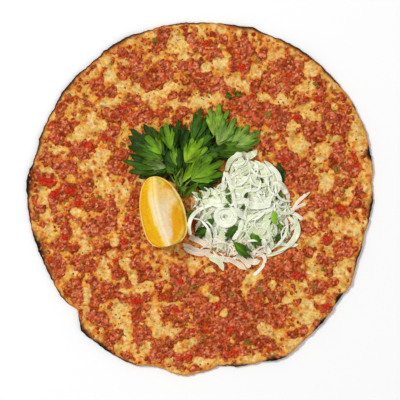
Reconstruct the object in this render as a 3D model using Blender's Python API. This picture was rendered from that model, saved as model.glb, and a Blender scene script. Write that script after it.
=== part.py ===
"""A lahmacun: a thin round flatbread under a spread of minced meat, served with a lemon wedge,
a bunch of parsley and a heap of sliced onion.

Metres, +Z up. The bread lies on its flat underside, and the origin is at the middle of the
bounding box's bottom. Each sub-part is one closed solid, a clear GAP above what it lies on.
"""

import math

import bpy
from mathutils import Vector, noise
from mathutils.bvhtree import BVHTree

MM = 0.001
GAP = 0.3 * MM
SECTORS = 120

# Flatbread: mean radius, then what bends its edge away from a circle.
BREAD_RADIUS = 150.7 * MM
BREAD_THICKNESS = 2.4 * MM
BREAD_UNDULATION = 0.45 * MM
BREAD_UNDULATION_LENGTH = 46 * MM
EDGE_WAVES = (  # waves round the edge, height, angle of a crest in degrees
    (1, 1.8 * MM, 53),
    (2, 2.6 * MM, 71),
    (3, 1.4 * MM, 27),
    (4, 0.6 * MM, 44),
    (5, 1.5 * MM, 28),
    (6, 1.2 * MM, 4),
)
EDGE_BUMPS = (  # angle in degrees, height (a notch is below zero), half width in degrees
    (5, -3.0 * MM, 2.0),
    (15, -1.4 * MM, 3.0),
    (66, -0.8 * MM, 4.0),
    (73, 1.1 * MM, 2.5),
    (107, -1.2 * MM, 3.0),
    (128, -1.7 * MM, 4.0),
    (141, 1.2 * MM, 5.0),
    (165, -2.0 * MM, 5.0),
    (174, 1.6 * MM, 3.0),
    (222, -6.2 * MM, 3.0),
    (229, 3.2 * MM, 3.0),
    (255, -3.6 * MM, 4.5),
    (265, 2.6 * MM, 3.5),
    (277, -3.9 * MM, 3.5),
    (298, 4.8 * MM, 5.0),
    (331, 3.6 * MM, 3.5),
    (347, -1.4 * MM, 2.5),
)
RIM_START = 0.86  # share of the radius where the rim begins to rise
RIM_BEAD = 0.9 * MM
RIM_LIFT = 1.5 * MM
RIM_LIFT_VARIES = 1.1 * MM
TOP_RINGS = (0.17, 0.36, 0.55, 0.73, 0.86, 0.94)
RIM_SHOULDER = (0.982, 0.35 * MM)  # share of the radius, drop below the top's own height
RIM_EDGE = (1.0, 1.9 * MM)
RIM_UNDER = (0.985, 0.8, 0.2 * MM)  # share of the radius, share of the lift, least height
RIM_FOOT = 0.93  # share of the radius that lies on the table

# Meat spread: a thin layer that stops short of the rim.
SPREAD_THICKNESS = 1.3 * MM
SPREAD_REACH = 0.962
SPREAD_REACH_VARIES = 0.008
SPREAD_LUMP = 17 * MM

# Lemon wedge: nearly a third of a lemon, lying on its rind with its core up.
LEMON_RADIUS = 24.5 * MM
LEMON_TIP_LENGTH = 36 * MM
LEMON_BLUNT_LENGTH = 25.5 * MM
LEMON_CUT_ANGLE = 108
LEMON_ROLL = 8
LEMON_CORE_BOW = 3.6 * MM  # how far the core bends left of the line between its ends
LEMON_CENTRE = (-33.2 * MM, -15.8 * MM)  # where the lemon is widest
LEMON_HEADING = 103  # degrees from +X to the tip
LEMON_STATIONS = 13
LEMON_ARC_STEPS = 14

# Sliced onion: a low uneven heap.
ONION_CENTRE = (35.5 * MM, -12.0 * MM)
ONION_RADIUS = 44 * MM
ONION_LOBES = (  # angle in degrees, reach, half width in degrees
    (2, 5 * MM, 12),
    (40, -4 * MM, 8),
    (60, 4 * MM, 10),
    (86, 9 * MM, 14),
    (126, -14 * MM, 15),
    (160, 3 * MM, 7),
    (213, 13 * MM, 9),
    (250, 5 * MM, 9),
    (295, 2 * MM, 8),
    (332, 9 * MM, 12),
)
ONION_PEAK = (27 * MM, 0 * MM)
ONION_PEAK_SPREAD = 34 * MM
ONION_HEIGHT = 19 * MM
ONION_BODY_HEIGHT = 5.5 * MM
ONION_EDGE_HEIGHT = 2.6 * MM
ONION_LUMP = (1.4 * MM, 11 * MM)  # height and size

# Parsley: a bunch whose stems meet near the lemon, with the leaves fanned out from there.
PARSLEY_CENTRE = (-8.5 * MM, 43 * MM)
PARSLEY_RADIUS = 34 * MM
PARSLEY_LOBES = (
    (13, 28 * MM, 11),
    (32, 9 * MM, 8),
    (53, 14 * MM, 8),
    (105, -17 * MM, 13),
    (167, 21 * MM, 14),
    (192, 23 * MM, 8),
    (208, 10 * MM, 7),
    (228, -6 * MM, 9),
    (262, 5 * MM, 8),
    (292, 11 * MM, 9),
    (350, 3 * MM, 10),
)
PARSLEY_HEIGHT = 11 * MM
PARSLEY_EDGE_HEIGHT = 2.2 * MM
PARSLEY_LUMP = (1.6 * MM, 14 * MM)
GARNISH_SECTORS = 54
GARNISH_RINGS = (0.22, 0.44, 0.64, 0.82, 0.94, 1.0)
CLEARANCE = 1.2 * MM  # between garnishes, seen from above


def polar(centre, angle, radius):
    return centre[0] + radius * math.cos(angle), centre[1] + radius * math.sin(angle)


def hump(angle, at_degrees, half_width_degrees):
    """A bell of height 1 at an angle, which has fallen to 0.37 one half width away."""
    away = (math.degrees(angle) - at_degrees + 180) % 360 - 180
    return math.exp(-((away / half_width_degrees) ** 2))


def smooth(low, high, value):
    share = min(1.0, max(0.0, (value - low) / (high - low)))
    return share * share * (3 - 2 * share)


def wander(x, y, length, seed):
    """Smooth noise from about -1 to 1 that changes over a length."""
    return 1.6 * noise.noise(Vector((x / length, y / length, seed)))


def wander_round(angle, turns, seed):
    """Smooth noise round a circle, about that many waves to a turn."""
    around = turns / (2 * math.pi)
    return 1.6 * noise.noise(Vector((around * math.cos(angle), around * math.sin(angle), seed)))


def make_material(name, colour, roughness):
    material = bpy.data.materials.new(name)
    material.use_nodes = True
    shader = material.node_tree.nodes["Principled BSDF"]
    shader.inputs["Base Color"].default_value = (*colour, 1)
    shader.inputs["Roughness"].default_value = roughness
    shader.inputs["Metallic"].default_value = 0
    return material


def make_object(name, points, faces, material):
    mesh = bpy.data.meshes.new(name)
    mesh.from_pydata([tuple(p) for p in points], [], faces)
    mesh.validate()
    mesh.materials.append(material)
    mesh.shade_smooth()
    mesh.set_sharp_from_angle(angle=math.radians(40))
    thing = bpy.data.objects.new(name, mesh)
    bpy.context.scene.collection.objects.link(thing)
    return thing


def ringed_solid(name, first, rings, last, material):
    """Skins closed rings of equal length into one solid, from the point first to the point last.
    The rings run anticlockwise seen from above, from the top's middle out and back underneath."""
    count = len(rings[0])
    points = [first, *(p for ring in rings for p in ring), last]
    faces = []
    for i in range(count):
        j = (i + 1) % count
        faces.append((0, 1 + i, 1 + j))
        for k in range(len(rings) - 1):
            inner, outer = 1 + k * count, 1 + (k + 1) * count
            faces.append((inner + i, outer + i, outer + j, inner + j))
        end = 1 + (len(rings) - 1) * count
        faces.append((end + i, len(points) - 1, end + j))
    return make_object(name, points, faces, material)


def tree_of(thing):
    mesh = thing.data
    return BVHTree.FromPolygons([v.co for v in mesh.vertices], [p.vertices for p in mesh.polygons])


def height_under(trees, x, y):
    """Height of the highest surface of trees at a place."""
    hits = [tree.ray_cast(Vector((x, y, 1)), Vector((0, 0, -1)))[0] for tree in trees]
    return max(hit.z for hit in hits if hit)


def raw_edge(angle):
    radius = BREAD_RADIUS
    for waves, height, crest in EDGE_WAVES:
        radius += height * math.cos(waves * (angle - math.radians(crest)))
    for at, height, half_width in EDGE_BUMPS:
        radius += height * hump(angle, at, half_width)
    return radius


def sector_angles(count):
    return [2 * math.pi * i / count for i in range(count)]


def bread_middle():
    """The middle of the edge's own bounding box, so that the origin can be put there."""
    edge = [polar((0, 0), a, raw_edge(a)) for a in sector_angles(SECTORS)]
    return [(min(p[k] for p in edge) + max(p[k] for p in edge)) / 2 for k in range(2)]


def rim_lift(angle):
    return RIM_LIFT + RIM_LIFT_VARIES * wander_round(angle, 9, 3.7)


def bread_top(x, y, angle, share):
    bead = RIM_BEAD * (1 + 0.6 * wander_round(angle, 16, 8.2))
    return (
        BREAD_THICKNESS
        + BREAD_UNDULATION * wander(x, y, BREAD_UNDULATION_LENGTH, 1.3)
        + bead * smooth(RIM_START, 0.95, share)
        + rim_lift(angle) * smooth(RIM_START, 1.0, share)
    )


def make_flatbread(middle, material):
    """A thin disc with an uneven edge. Its rim is a little thicker and curls up off the table."""
    angles = sector_angles(SECTORS)

    def place(angle, share):
        x, y = polar((0, 0), angle, raw_edge(angle) * share)
        return x - middle[0], y - middle[1]

    def top(angle, share, drop=0.0):
        x, y = place(angle, share)
        return x, y, bread_top(x, y, angle, share) - drop

    def under(angle, share, height):
        return (*place(angle, share), height)

    rings = [[top(a, share) for a in angles] for share in TOP_RINGS]
    rings += [[top(a, share, drop) for a in angles] for share, drop in (RIM_SHOULDER, RIM_EDGE)]
    share, lifted, least = RIM_UNDER
    rings.append([under(a, share, lifted * rim_lift(a) + least) for a in angles])
    rings.append([under(a, RIM_FOOT, 0.0) for a in angles])
    return ringed_solid("flatbread", top(0, 0), rings, under(0, 0, 0.0), material)


def spread_reach(angle):
    return SPREAD_REACH + SPREAD_REACH_VARIES * wander_round(angle, 14, 5.1)


def make_meat_spread(middle, bread, material):
    """The spread lies on the bread's own rings, so that its underside follows the bread."""
    angles = sector_angles(SECTORS)
    trees = [tree_of(bread)]

    def place(angle, share):
        x, y = polar((0, 0), angle, raw_edge(angle) * share)
        x, y = x - middle[0], y - middle[1]
        return x, y, height_under(trees, x, y) + GAP

    def top(angle, share):
        x, y, low = place(angle, share)
        thick = SPREAD_THICKNESS * (1 + 0.3 * wander(x, y, SPREAD_LUMP, 6.6))
        return x, y, low + thick * (1 - 0.45 * smooth(0.9, 1.0, share))

    rings = [[top(a, share) for a in angles] for share in TOP_RINGS]
    rings.append([top(a, spread_reach(a)) for a in angles])
    rings.append([place(a, spread_reach(a)) for a in angles])
    rings += [[place(a, share) for a in angles] for share in reversed(TOP_RINGS)]
    return ringed_solid("meat_topping", top(0, 0), rings, place(0, 0), material)


def lemon_width(along):
    """The lemon's radius as a share of the largest, at a distance towards its tip (above 0) or its
    blunt end. The blunt end is fuller."""
    if along >= 0:
        return math.sqrt(max(0.0, 1 - (along / LEMON_TIP_LENGTH) ** 2))
    return max(0.0, 1 - (-along / LEMON_BLUNT_LENGTH) ** 2.5) ** 0.4


def make_lemon_wedge(surface, material):
    """Sectors of a circle along the lemon's core, which is the wedge's upper edge. The wedge is
    made with its tip towards +X and its left side towards +Y, then turned and set down."""
    swings = [
        math.radians(LEMON_ROLL + LEMON_CUT_ANGLE * (i / LEMON_ARC_STEPS - 0.5))
        for i in range(LEMON_ARC_STEPS + 1)
    ]
    first, last = -0.975 * LEMON_BLUNT_LENGTH, 0.985 * LEMON_TIP_LENGTH
    middle, half_length = (first + last) / 2, (last - first) / 2

    def section(along):
        radius = LEMON_RADIUS * lemon_width(along)
        bow = LEMON_CORE_BOW * (1 - ((along - middle) / half_length) ** 2)
        rind = [(along, -radius * math.sin(s), -radius * math.cos(s)) for s in swings]
        return [(along, bow, 0.0), *rind]

    turns = [math.pi * i / (LEMON_STATIONS - 1) for i in range(LEMON_STATIONS)]
    stations = [section(middle - half_length * math.cos(turn)) for turn in turns]
    count = len(stations[0])
    points = [p for station in stations for p in station]
    faces = [tuple(range(count)), tuple(reversed(range(len(points) - count, len(points))))]
    for k in range(LEMON_STATIONS - 1):
        for i in range(count):
            j = (i + 1) % count
            low, high = k * count, (k + 1) * count
            faces.append((low + i, high + i, high + j, low + j))
    wedge = make_object("lemon_wedge", points, faces, material)
    floor = height_under(surface, *LEMON_CENTRE) + 4 * GAP
    wedge.location = (*LEMON_CENTRE, floor + LEMON_RADIUS)
    wedge.rotation_euler.z = math.radians(LEMON_HEADING)


def lobed(angle, radius, lobes):
    return radius + sum(reach * hump(angle, at, half) for at, reach, half in lobes)


def inside_lemon(x, y):
    """Whether a place is over the wedge or within the clearance of it, seen from above."""
    heading = math.radians(LEMON_HEADING)
    away = Vector((x - LEMON_CENTRE[0], y - LEMON_CENTRE[1]))
    along = away.dot(Vector((math.cos(heading), math.sin(heading))))
    across = away.dot(Vector((math.sin(heading), -math.cos(heading))))
    if not -LEMON_BLUNT_LENGTH - CLEARANCE < along < LEMON_TIP_LENGTH + CLEARANCE:
        return False
    radius = LEMON_RADIUS * lemon_width(min(LEMON_TIP_LENGTH, max(-LEMON_BLUNT_LENGTH, along)))
    half, roll = math.radians(LEMON_CUT_ANGLE / 2), math.radians(LEMON_ROLL)
    left, right = radius * math.sin(half - roll), radius * math.sin(half + roll)
    return -left - CLEARANCE < across < right + CLEARANCE


def inside_onion(x, y):
    """The same for the heap of onion."""
    away = Vector((x - ONION_CENTRE[0], y - ONION_CENTRE[1]))
    return away.length < onion_edge(math.atan2(away.y, away.x)) + CLEARANCE


def held_back(centre, angle, wanted, blocks):
    """How far a garnish reaches from its centre before something blocks it."""
    reach = CLEARANCE
    while reach < wanted and not any(block(*polar(centre, angle, reach)) for block in blocks):
        reach += CLEARANCE / 2
    return min(reach, wanted)


def onion_edge(angle):
    wanted = lobed(angle, ONION_RADIUS, ONION_LOBES) + 1.2 * MM * wander_round(angle, 22, 2.9)
    return held_back(ONION_CENTRE, angle, wanted, [inside_lemon])


def parsley_edge(angle):
    wanted = lobed(angle, PARSLEY_RADIUS, PARSLEY_LOBES) + 1.5 * MM * wander_round(angle, 26, 7.7)
    return held_back(PARSLEY_CENTRE, angle, wanted, [inside_lemon, inside_onion])


def make_heap(name, centre, edge, crown, surface, material):
    """A heap on the surface. edge gives its reach at an angle, and crown its height at a place and
    a share of the reach."""
    angles = sector_angles(GARNISH_SECTORS)
    reach = {a: edge(a) for a in angles}

    def under(angle, share):
        x, y = polar(centre, angle, reach[angle] * share)
        return x, y, height_under(surface, x, y) + 2 * GAP

    def top(angle, share):
        x, y, low = under(angle, share)
        return x, y, low + crown(x, y, share)

    rings = [[top(a, share) for a in angles] for share in GARNISH_RINGS]
    rings += [[under(a, share) for a in angles] for share in reversed(GARNISH_RINGS)]
    return ringed_solid(name, top(angles[0], 0), rings, under(angles[0], 0), material)


def onion_crown(x, y, share):
    away = Vector((x - ONION_PEAK[0], y - ONION_PEAK[1])).length
    dome = math.exp(-((away / ONION_PEAK_SPREAD) ** 2))
    body = ONION_BODY_HEIGHT + (ONION_HEIGHT - ONION_BODY_HEIGHT) * dome
    body += ONION_LUMP[0] * wander(x, y, ONION_LUMP[1], 4.4)
    return ONION_EDGE_HEIGHT + (body - ONION_EDGE_HEIGHT) * (1 - smooth(0.55, 1.0, share))


def parsley_crown(x, y, share):
    body = PARSLEY_HEIGHT + PARSLEY_LUMP[0] * wander(x, y, PARSLEY_LUMP[1], 9.1)
    fall = 1 - smooth(0.1, 1.0, share) ** 0.8
    return PARSLEY_EDGE_HEIGHT + (body - PARSLEY_EDGE_HEIGHT) * fall


def main():
    for thing in list(bpy.data.objects):
        bpy.data.objects.remove(thing)
    middle = bread_middle()
    crust = make_material("baked_dough", (0.75, 0.50, 0.22), 0.75)
    meat = make_material("minced_meat", (0.40, 0.10, 0.035), 0.55)
    citrus = make_material("lemon", (0.76, 0.40, 0.04), 0.4)
    onion = make_material("sliced_onion", (0.66, 0.70, 0.52), 0.45)
    leaf = make_material("parsley", (0.14, 0.28, 0.03), 0.6)
    bread = make_flatbread(middle, crust)
    spread = make_meat_spread(middle, bread, meat)
    surface = [tree_of(bread), tree_of(spread)]
    make_lemon_wedge(surface, citrus)
    make_heap("onion_heap", ONION_CENTRE, onion_edge, onion_crown, surface, onion)
    make_heap("parsley_bunch", PARSLEY_CENTRE, parsley_edge, parsley_crown, surface, leaf)


main()
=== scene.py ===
"""The looks of a lahmacun: a thin flatbread under patchy minced meat, with a lemon wedge, a bunch
of parsley and a heap of sliced onion.

Shapes are worked out in millimetres, seen from above, and turned into metres as each mesh is made.
"""

import math

import bmesh
import bpy
import numpy as np
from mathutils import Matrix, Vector
from mathutils.bvhtree import BVHTree


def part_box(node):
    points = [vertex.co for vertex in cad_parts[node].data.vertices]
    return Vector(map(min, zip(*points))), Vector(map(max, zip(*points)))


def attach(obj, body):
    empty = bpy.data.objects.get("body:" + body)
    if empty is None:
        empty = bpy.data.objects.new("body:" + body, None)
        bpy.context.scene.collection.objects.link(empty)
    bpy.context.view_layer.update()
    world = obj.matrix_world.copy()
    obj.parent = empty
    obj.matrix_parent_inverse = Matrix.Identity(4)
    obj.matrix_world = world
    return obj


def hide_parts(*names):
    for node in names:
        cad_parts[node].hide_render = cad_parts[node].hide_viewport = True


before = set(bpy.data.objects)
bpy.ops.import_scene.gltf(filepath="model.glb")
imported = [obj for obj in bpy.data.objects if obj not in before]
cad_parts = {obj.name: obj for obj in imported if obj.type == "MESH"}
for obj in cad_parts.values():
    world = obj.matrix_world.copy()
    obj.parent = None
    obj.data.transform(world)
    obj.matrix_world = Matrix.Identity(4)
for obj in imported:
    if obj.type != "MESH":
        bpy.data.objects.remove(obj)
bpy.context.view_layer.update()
MM = 0.001
VIEW_WIDTH = 344.4 * MM

# Flatbread, in millimetres. RADIUS is nominal: the outline comes from the frame.
RADIUS = 150
DOUGH_THICKNESS = 2.4
DOUGH_UNDULATION = 0.45
BLISTER = 0.8
FOLD_HEIGHT = 1.1
RIM_BEAD = 0.6
RIM_LIFT = 1.5
RIM_LIFT_VARIES = 1.1
RIM_ROUNDING = 1.5
RIM_NICKS = 0.6
TOP_STEP = 0.95
UNDER_STEP = 2.4
# How far in from the edge the last rings of the top lie. Then the rings below the edge: how far in,
# and how far up to the edge's height, or below 0 how far down to the flat underside.
TOP_INSETS = (3.4, 2.6, 1.9, 1.3, 0.8, 0.4, 0.12, 0)
SIDE_RINGS = ((0.0, 0.55), (0.6, 0.2), (1.6, 0.0), (3.6, -0.35), (6.5, -0.75), (10, -1))

# Minced meat.
MEAT_STEP = 0.72
MEAT_SPAN = 304
MEAT_FROM = 0.21

# Where the meat lies in patches: middle x, y, half length, half width, and a turn in degrees where
# there is one.
MEAT = (
    (-88, 97, 5.5, 7), (-76, 92, 4.5, 4), (-66, 108, 6, 5, 20), (-56, 118, 6, 8, 10),
    (-66, 125, 4, 3), (-115, 62, 8, 5.5), (-125, 63, 5, 4), (-121, 54, 4, 4),
    (-70, 73, 12, 5, 12), (-56, 85, 6, 5), (-55, 69, 6, 4), (-77, 56, 5, 7, 15),
    (-96, 82, 3, 2), (-93, 113, 4, 2, 40), (-121, 82, 5, 3, 40), (-113, 86, 4, 3),
    (-121, 74, 3, 4), (-84, 104, 2, 4), (-31, 141, 6, 8, -25), (-14, 147, 3, 3),
    (-9, 140, 4, 4), (-35, 130, 6, 4), (-30, 117, 5, 3), (-37, 105, 13, 7, 15),
    (-43, 97, 6, 4), (4, 130, 10, 5, -20), (13, 126, 5, 4), (-8, 115, 10, 4),
    (0, 104, 9, 8), (7, 96, 9, 4), (19, 98, 4, 6), (35, 129, 9, 7),
    (34, 116, 9, 6), (-24, 90, 4, 3.5), (-15, 87, 4, 5), (-33, 84, 2.2, 2),
    (-27, 78, 2.5, 2), (-13, 76, 4, 3.5), (-34, 74, 5, 3.5), (-46, 72, 7, 5),
    (-20, 69, 4, 3), (38, 80, 14, 8, -20), (50, 72, 8, 8), (24, 73, 4, 3),
    (20, 138, 3, 3), (12, 142, 3, 2), (48, 98, 4, 6), (55, 125, 5, 4),
    (65, 115, 4, 4), (76, 114, 6, 7), (86, 111, 5, 7), (75, 104, 8, 4),
    (57, 105, 4, 4), (63, 95, 6, 6), (76, 96, 5, 3), (101, 104, 3, 3),
    (104, 97, 4, 6), (102, 87, 4, 3.5), (107, 82, 4, 3), (88, 85, 4, 4),
    (66, 74, 13, 7, -20), (67, 63, 6, 5), (84, 70, 5, 3), (98, 60, 10, 6),
    (113, 71, 7, 5), (120, 63, 9, 9), (123, 88, 4, 3), (125, 79, 4, 2),
    (-126, 51, 4, 3), (-131, 35, 4, 6), (-137, 35, 2, 2), (-102, 44, 9, 5, 20),
    (-100, 38, 4, 4), (-118, 27, 7, 7), (-108, 26, 3, 4), (-141, 23, 3, 3),
    (-132, 15, 8, 4.5, -10), (-97, 12, 7, 6), (-112, 7, 10, 6, 10), (-125, 3, 6, 4, 40),
    (-142, 1, 3, 2.5), (-105, -4, 4, 3.5), (-138, -9, 4, 3), (-142, -16, 3, 3),
    (-127, -6, 3, 5), (-88, -5, 7, 5), (-76, -8, 6, 6), (-97, -7, 4, 4),
    (-90, -24, 12, 7, 10), (-78, -17, 6, 5), (-122, -17, 5, 2.5, 40), (-113, -15, 3, 3),
    (-115, -28, 4, 7), (-120, -40, 9, 4), (-109, -41, 5, 4), (-88, -46, 4, 4),
    (-81, -39, 4, 3), (-66, -39, 4.5, 5), (-58, -25, 6, 10, 20), (-56, -1, 3.5, 8),
    (-55, -49, 2.5, 2.5), (-71, 26, 7, 5), (-68, 38, 6, 6), (-60, 18, 3, 3),
    (-82, 52, 3, 3), (57, 46, 6, 5), (74, 36, 8, 7), (85, 28, 8, 7),
    (98, 50, 6, 2), (80, 20, 6, 8), (97, 15, 6, 6), (88, 8, 6, 5),
    (120, 44, 5, 7), (117, 34, 7, 6), (129, 26, 8, 7), (127, 14, 5, 4),
    (138, 5, 5, 4), (116, 5, 5, 3), (105, -2, 10, 5), (115, -5, 6, 4),
    (122, -10, 4, 5), (134, -5, 5, 3), (103, -14, 4, 3), (107, -21, 5, 5),
    (92, -25, 7, 5), (86, -12, 4, 3), (109, -35, 4.5, 3), (124, -43, 8, 7),
    (93, -45, 5, 5), (80, -48, 8, 4), (142, -26, 3, 2), (-123, -57, 6, 9, 15),
    (-105, -54, 5, 4), (-95, -54, 4, 4), (-100, -61, 4, 2.5), (-73, -53, 3, 2),
    (-55, -57, 6, 4, -20), (-71, -64, 6, 4.5), (-62, -73, 3, 2.5), (-107, -72, 4, 2.5),
    (-112, -78, 5, 4), (-107, -84, 6, 5), (-91, -73, 6, 5), (-77, -80, 9, 6),
    (-66, -86, 5, 3.5), (-56, -88, 6, 4), (-92, -92, 4, 6), (-87, -103, 9, 6, -20),
    (-79, -110, 3, 3), (-72, -117, 5, 4), (-77, -122, 4, 3), (-54, -100, 4, 8),
    (-53, -117, 4, 8), (-63, -136, 5, 3.5), (-103, -100, 2, 4), (-46, -64, 8, 6, -20),
    (-35, -77, 3.5, 3.5), (-20, -63, 8, 6), (-14, -72, 9, 6), (-28, -85, 8, 4),
    (-8, -86, 8, 8), (-46, -86, 4, 3.5), (-44, -94, 3.5, 3), (-25, -95, 6, 4),
    (-27, -103, 6, 3.5), (-15, -103, 4, 5), (5, -106, 10, 8), (9, -95, 9, 7),
    (0, -68, 4, 6), (9, -67, 5, 4), (-46, -116, 4.5, 6), (-31, -130, 10, 7, 10),
    (-44, -138, 3.5, 3), (-10, -116, 9, 4, 15), (9, -125, 12, 8), (-10, -136, 5, 4),
    (-19, -139, 5, 4), (6, -134, 6, 4), (27, -131, 9, 5, 20), (20, -75, 9, 8),
    (30, -68, 5, 7), (18, -59, 5, 4), (26, -85, 8, 7), (16, -92, 5, 4),
    (34, -100, 10, 9), (47, -94, 8, 10), (26, -112, 5, 5), (40, -114, 9, 8),
    (15, -112, 7, 6), (39, -132, 6, 3), (-5, -146, 4, 3), (70, -60, 13, 8),
    (84, -65, 6, 5), (66, -67, 7, 4), (107, -53, 6, 3), (112, -63, 3, 3),
    (120, -51, 4, 3), (100, -76, 8, 6), (116, -72, 3, 3), (54, -77, 6, 7),
    (65, -85, 7, 5), (56, -97, 8, 7), (66, -104, 6, 6), (73, -96, 5, 4),
    (53, -123, 7, 6), (62, -128, 4, 3), (76, -127, 2, 1.5), (85, -89, 3, 2.5),
    (107, -94, 6, 4, 45), (100, -106, 3, 3), (90, -114, 4, 3), (80, -117, 5, 3),
)

# Where the dough lies bare.
BARE = (
    (-94, 63, 4.5, 10), (-78, 83, 9, 3, 12), (-78, 105, 5, 4), (-66, 97, 5, 4),
    (-63, 116, 2.5, 4), (-126, 72, 2, 4), (-105, 55, 5, 6), (-82, 118, 6, 4, 30),
    (-92, 106, 3, 3), (-55, 95, 4, 4), (-83, 63, 3, 4), (-22, 137, 4, 7),
    (-14, 132, 3, 6), (-13, 122, 5, 3), (-37, 121, 6, 2), (17, 145, 4, 2.5),
    (18, 116, 6, 5), (5, 113, 4, 4), (-38, 89, 10, 4, 15), (-25, 97, 6, 2.5),
    (-18, 82, 7, 2.5), (2, 85, 14, 4), (29, 103, 6, 3), (37, 97, 5, 4),
    (48, 109, 4, 5), (-42, 141, 4, 2, 20), (2, 145, 3, 4), (62, 125, 5, 4),
    (94, 110, 5, 6), (96, 98, 3, 4), (89, 96, 4, 4), (72, 85, 8, 3.5, -10),
    (55, 88, 4, 2.5), (93, 75, 5, 6), (80, 62, 4, 4), (109, 107, 3, 2),
    (134, 58, 4, 9, -10), (117, 53, 3, 3), (-122, 43, 7, 2.5), (-131, 25, 5, 2.5),
    (-86, 36, 5, 8), (-82, 13, 9, 6, -20), (-95, 29, 6, 2, -25), (-135, 4, 4, 6),
    (-131, -12, 3, 6), (-129, -28, 4, 5), (-104, -11, 6, 3), (-106, -28, 3, 4),
    (-104, -36, 5, 4), (-98, -44, 5, 3), (-73, -36, 3, 4), (-77, -47, 3, 3),
    (-71, -3, 2, 6), (-64, 8, 4, 6), (84, 46, 9, 4), (107, 42, 6, 5),
    (104, 34, 4, 3), (108, 15, 6, 7), (138, 44, 4, 6), (128, 6, 3, 2.5),
    (96, -14, 3, 3), (132, -25, 7, 5), (118, -22, 6, 4), (98, -36, 5, 5),
    (113, -43, 3, 3), (143, 8, 3, 3), (-110, -64, 5, 2), (-81, -66, 4, 4),
    (-64, -54, 4, 5), (-83, -55, 3, 3), (-97, -86, 2.5, 10), (-70, -99, 7, 10),
    (-63, -118, 3, 8), (-66, -128, 6, 2.5), (-95, -112, 5, 2), (-56, -70, 3, 6, 15),
    (-66, -79, 4, 2), (-53, -136, 4, 3), (-29, -62, 2.5, 9, 10), (-46, -75, 6, 3.5),
    (-39, -101, 5, 10, 20), (-30, -114, 9, 4), (-18, -113, 4, 2), (-46, -128, 3.5, 6, -25),
    (-5, -55, 5, 3), (8, -61, 4, 2), (-20, -127, 3.5, 4), (-6, -123, 4, 3.5),
    (-27, -139, 4, 2.5), (-25, -90, 14, 0.9), (12, -87, 4, 2), (20, -99, 3, 2),
    (1, -140, 8, 3), (44, -138, 8, 3, 10), (45, -68, 4, 6, -30), (55, -112, 5, 4, -30),
    (64, -116, 4, 2.5), (94, -101, 9, 6, 10), (85, -81, 3, 6), (96, -62, 3, 8),
    (103, -87, 5, 2.5), (122, -61, 5, 8), (80, -125, 8, 3.5, 30), (90, -74, 3, 3),
    (62, -73, 4, 2), (130, -55, 2.5, 4), (92, -90, 5, 3), (75, -87, 3, 3),
)

# Raised pale folds of dough: from x, y to x, y, and the half width.
FOLDS = (
    (51, -70, 36, -94, 1.0), (-100, 28, -78, 12, 1.2), (-98, -66, -97, -96, 1.5),
    (-40, -90, -9, -90, 0.7), (52, -84, 70, -78, 0.7), (62, -52, 53, -72, 0.8),
)

# Tomato and red pepper, then green pepper, given in the same way.
RED = (
    (-105, -4, 3.5, 3), (-125, 5, 5, 2.4, 45), (-112, 7, 5, 2.4, 10), (-95, 46, 6, 2.6, -15),
    (-92, 41, 2.6, 2.6), (-132, 15, 6, 3.4, -15), (-115, 48, 2.2, 1.8), (36, 114, 3.4, 3),
    (84, 70, 4.5, 2, 10), (101, 86, 2.6, 2.6), (134, 33, 2, 6.5, 20), (122, -8, 4, 3),
    (109, -35, 3.6, 2.6, 20), (-66, -37, 2.6, 2.4), (-116, -33, 2.6, 2.4),
    (-73, -53, 2.8, 1.8, 20), (-88, -115, 2.2, 1.6), (-55, -88, 4.4, 2.8),
    (-21, -96, 2, 2.2), (-30, -85, 2.8, 1.8), (-10, -136, 3.6, 2.6), (28, -133, 5.5, 2, 15),
    (26, -112, 3.4, 2.4), (15, -92, 2, 3), (83, -66, 4, 2.4), (-66, 79, 4, 1.6, 20),
    (45, 89, 2.2, 1.6), (5, 133, 3, 2), (-61, 131, 1.8, 1.4), (-16, -137, 2.4, 1.8),
    (-63, -17, 2.2, 3.4), (-17, -71, 3, 2), (-128, -52, 2.6, 2), (107, -93, 3.4, 2, 45),
    (77, 107, 2.6, 2), (64, 108, 2, 2), (-82, 52, 2.6, 1.8), (73, 34, 2.6, 2),
    (-56, 133, 1.5, 1.2), (7, -114, 4.4, 1.6, 15), (-60, 64, 2.2, 1.4), (-87, 88, 1.4, 3),
)
GREEN = (
    (117, 25, 2.2, 3.8), (124, 7, 2.6, 2.2), (58, 73, 2.6, 3), (99, 98, 1.8, 2.4),
    (83, -81, 1.8, 2.4), (28, -82, 2, 1.8), (-28, -82, 1.8, 2.2), (-18, -82, 2.2, 2),
    (2, -122, 2, 1.6), (-12, -109, 2.4, 1.6), (-7, -77, 5, 2, 15), (-86, 2, 3, 2),
    (-98, 88, 2, 1.6), (-113, 90, 2.4, 1.8), (116, 76, 2.2, 1.6), (56, 57, 2.4, 2),
    (-140, -15, 2.6, 1.8), (112, -14, 2, 1.8), (-116, -3, 2, 1.6), (42, -124, 4, 2.4),
    (-67, -117, 1.8, 1.4), (5, -118, 2.2, 1.2), (106, -62, 2.2, 1.6), (-92, 2, 1.8, 1.4),
    (-40, 137, 2.6, 2), (50, 119, 1.6, 2.4), (98, -76, 1.8, 2.2), (52, -78, 2.4, 2.6),
)

# Char round the edge: angle in degrees, depth in millimetres, half width in degrees.
CHAR = (
    (174, 4.2, 5), (197, 3.6, 5), (184, 1.4, 5), (160, 1.3, 10), (140, 1.6, 12), (118, 1.6, 12),
    (95, 0.9, 10), (75, 1.5, 8), (57, 1.5, 9), (44, 1.1, 5), (15, 3.2, 1.8), (-3, 2.0, 4),
    (-20, 1.0, 5), (-35.5, 3.4, 1.6), (-46, 3.2, 2.2), (-65, 3.2, 2.6), (-78, 1.4, 4),
    (229, 2.4, 4), (237, 2.6, 4), (206, 1.6, 4), (215, 0.9, 4), (245, 1.0, 4), (31, 0.6, 1.5),
)


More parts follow.
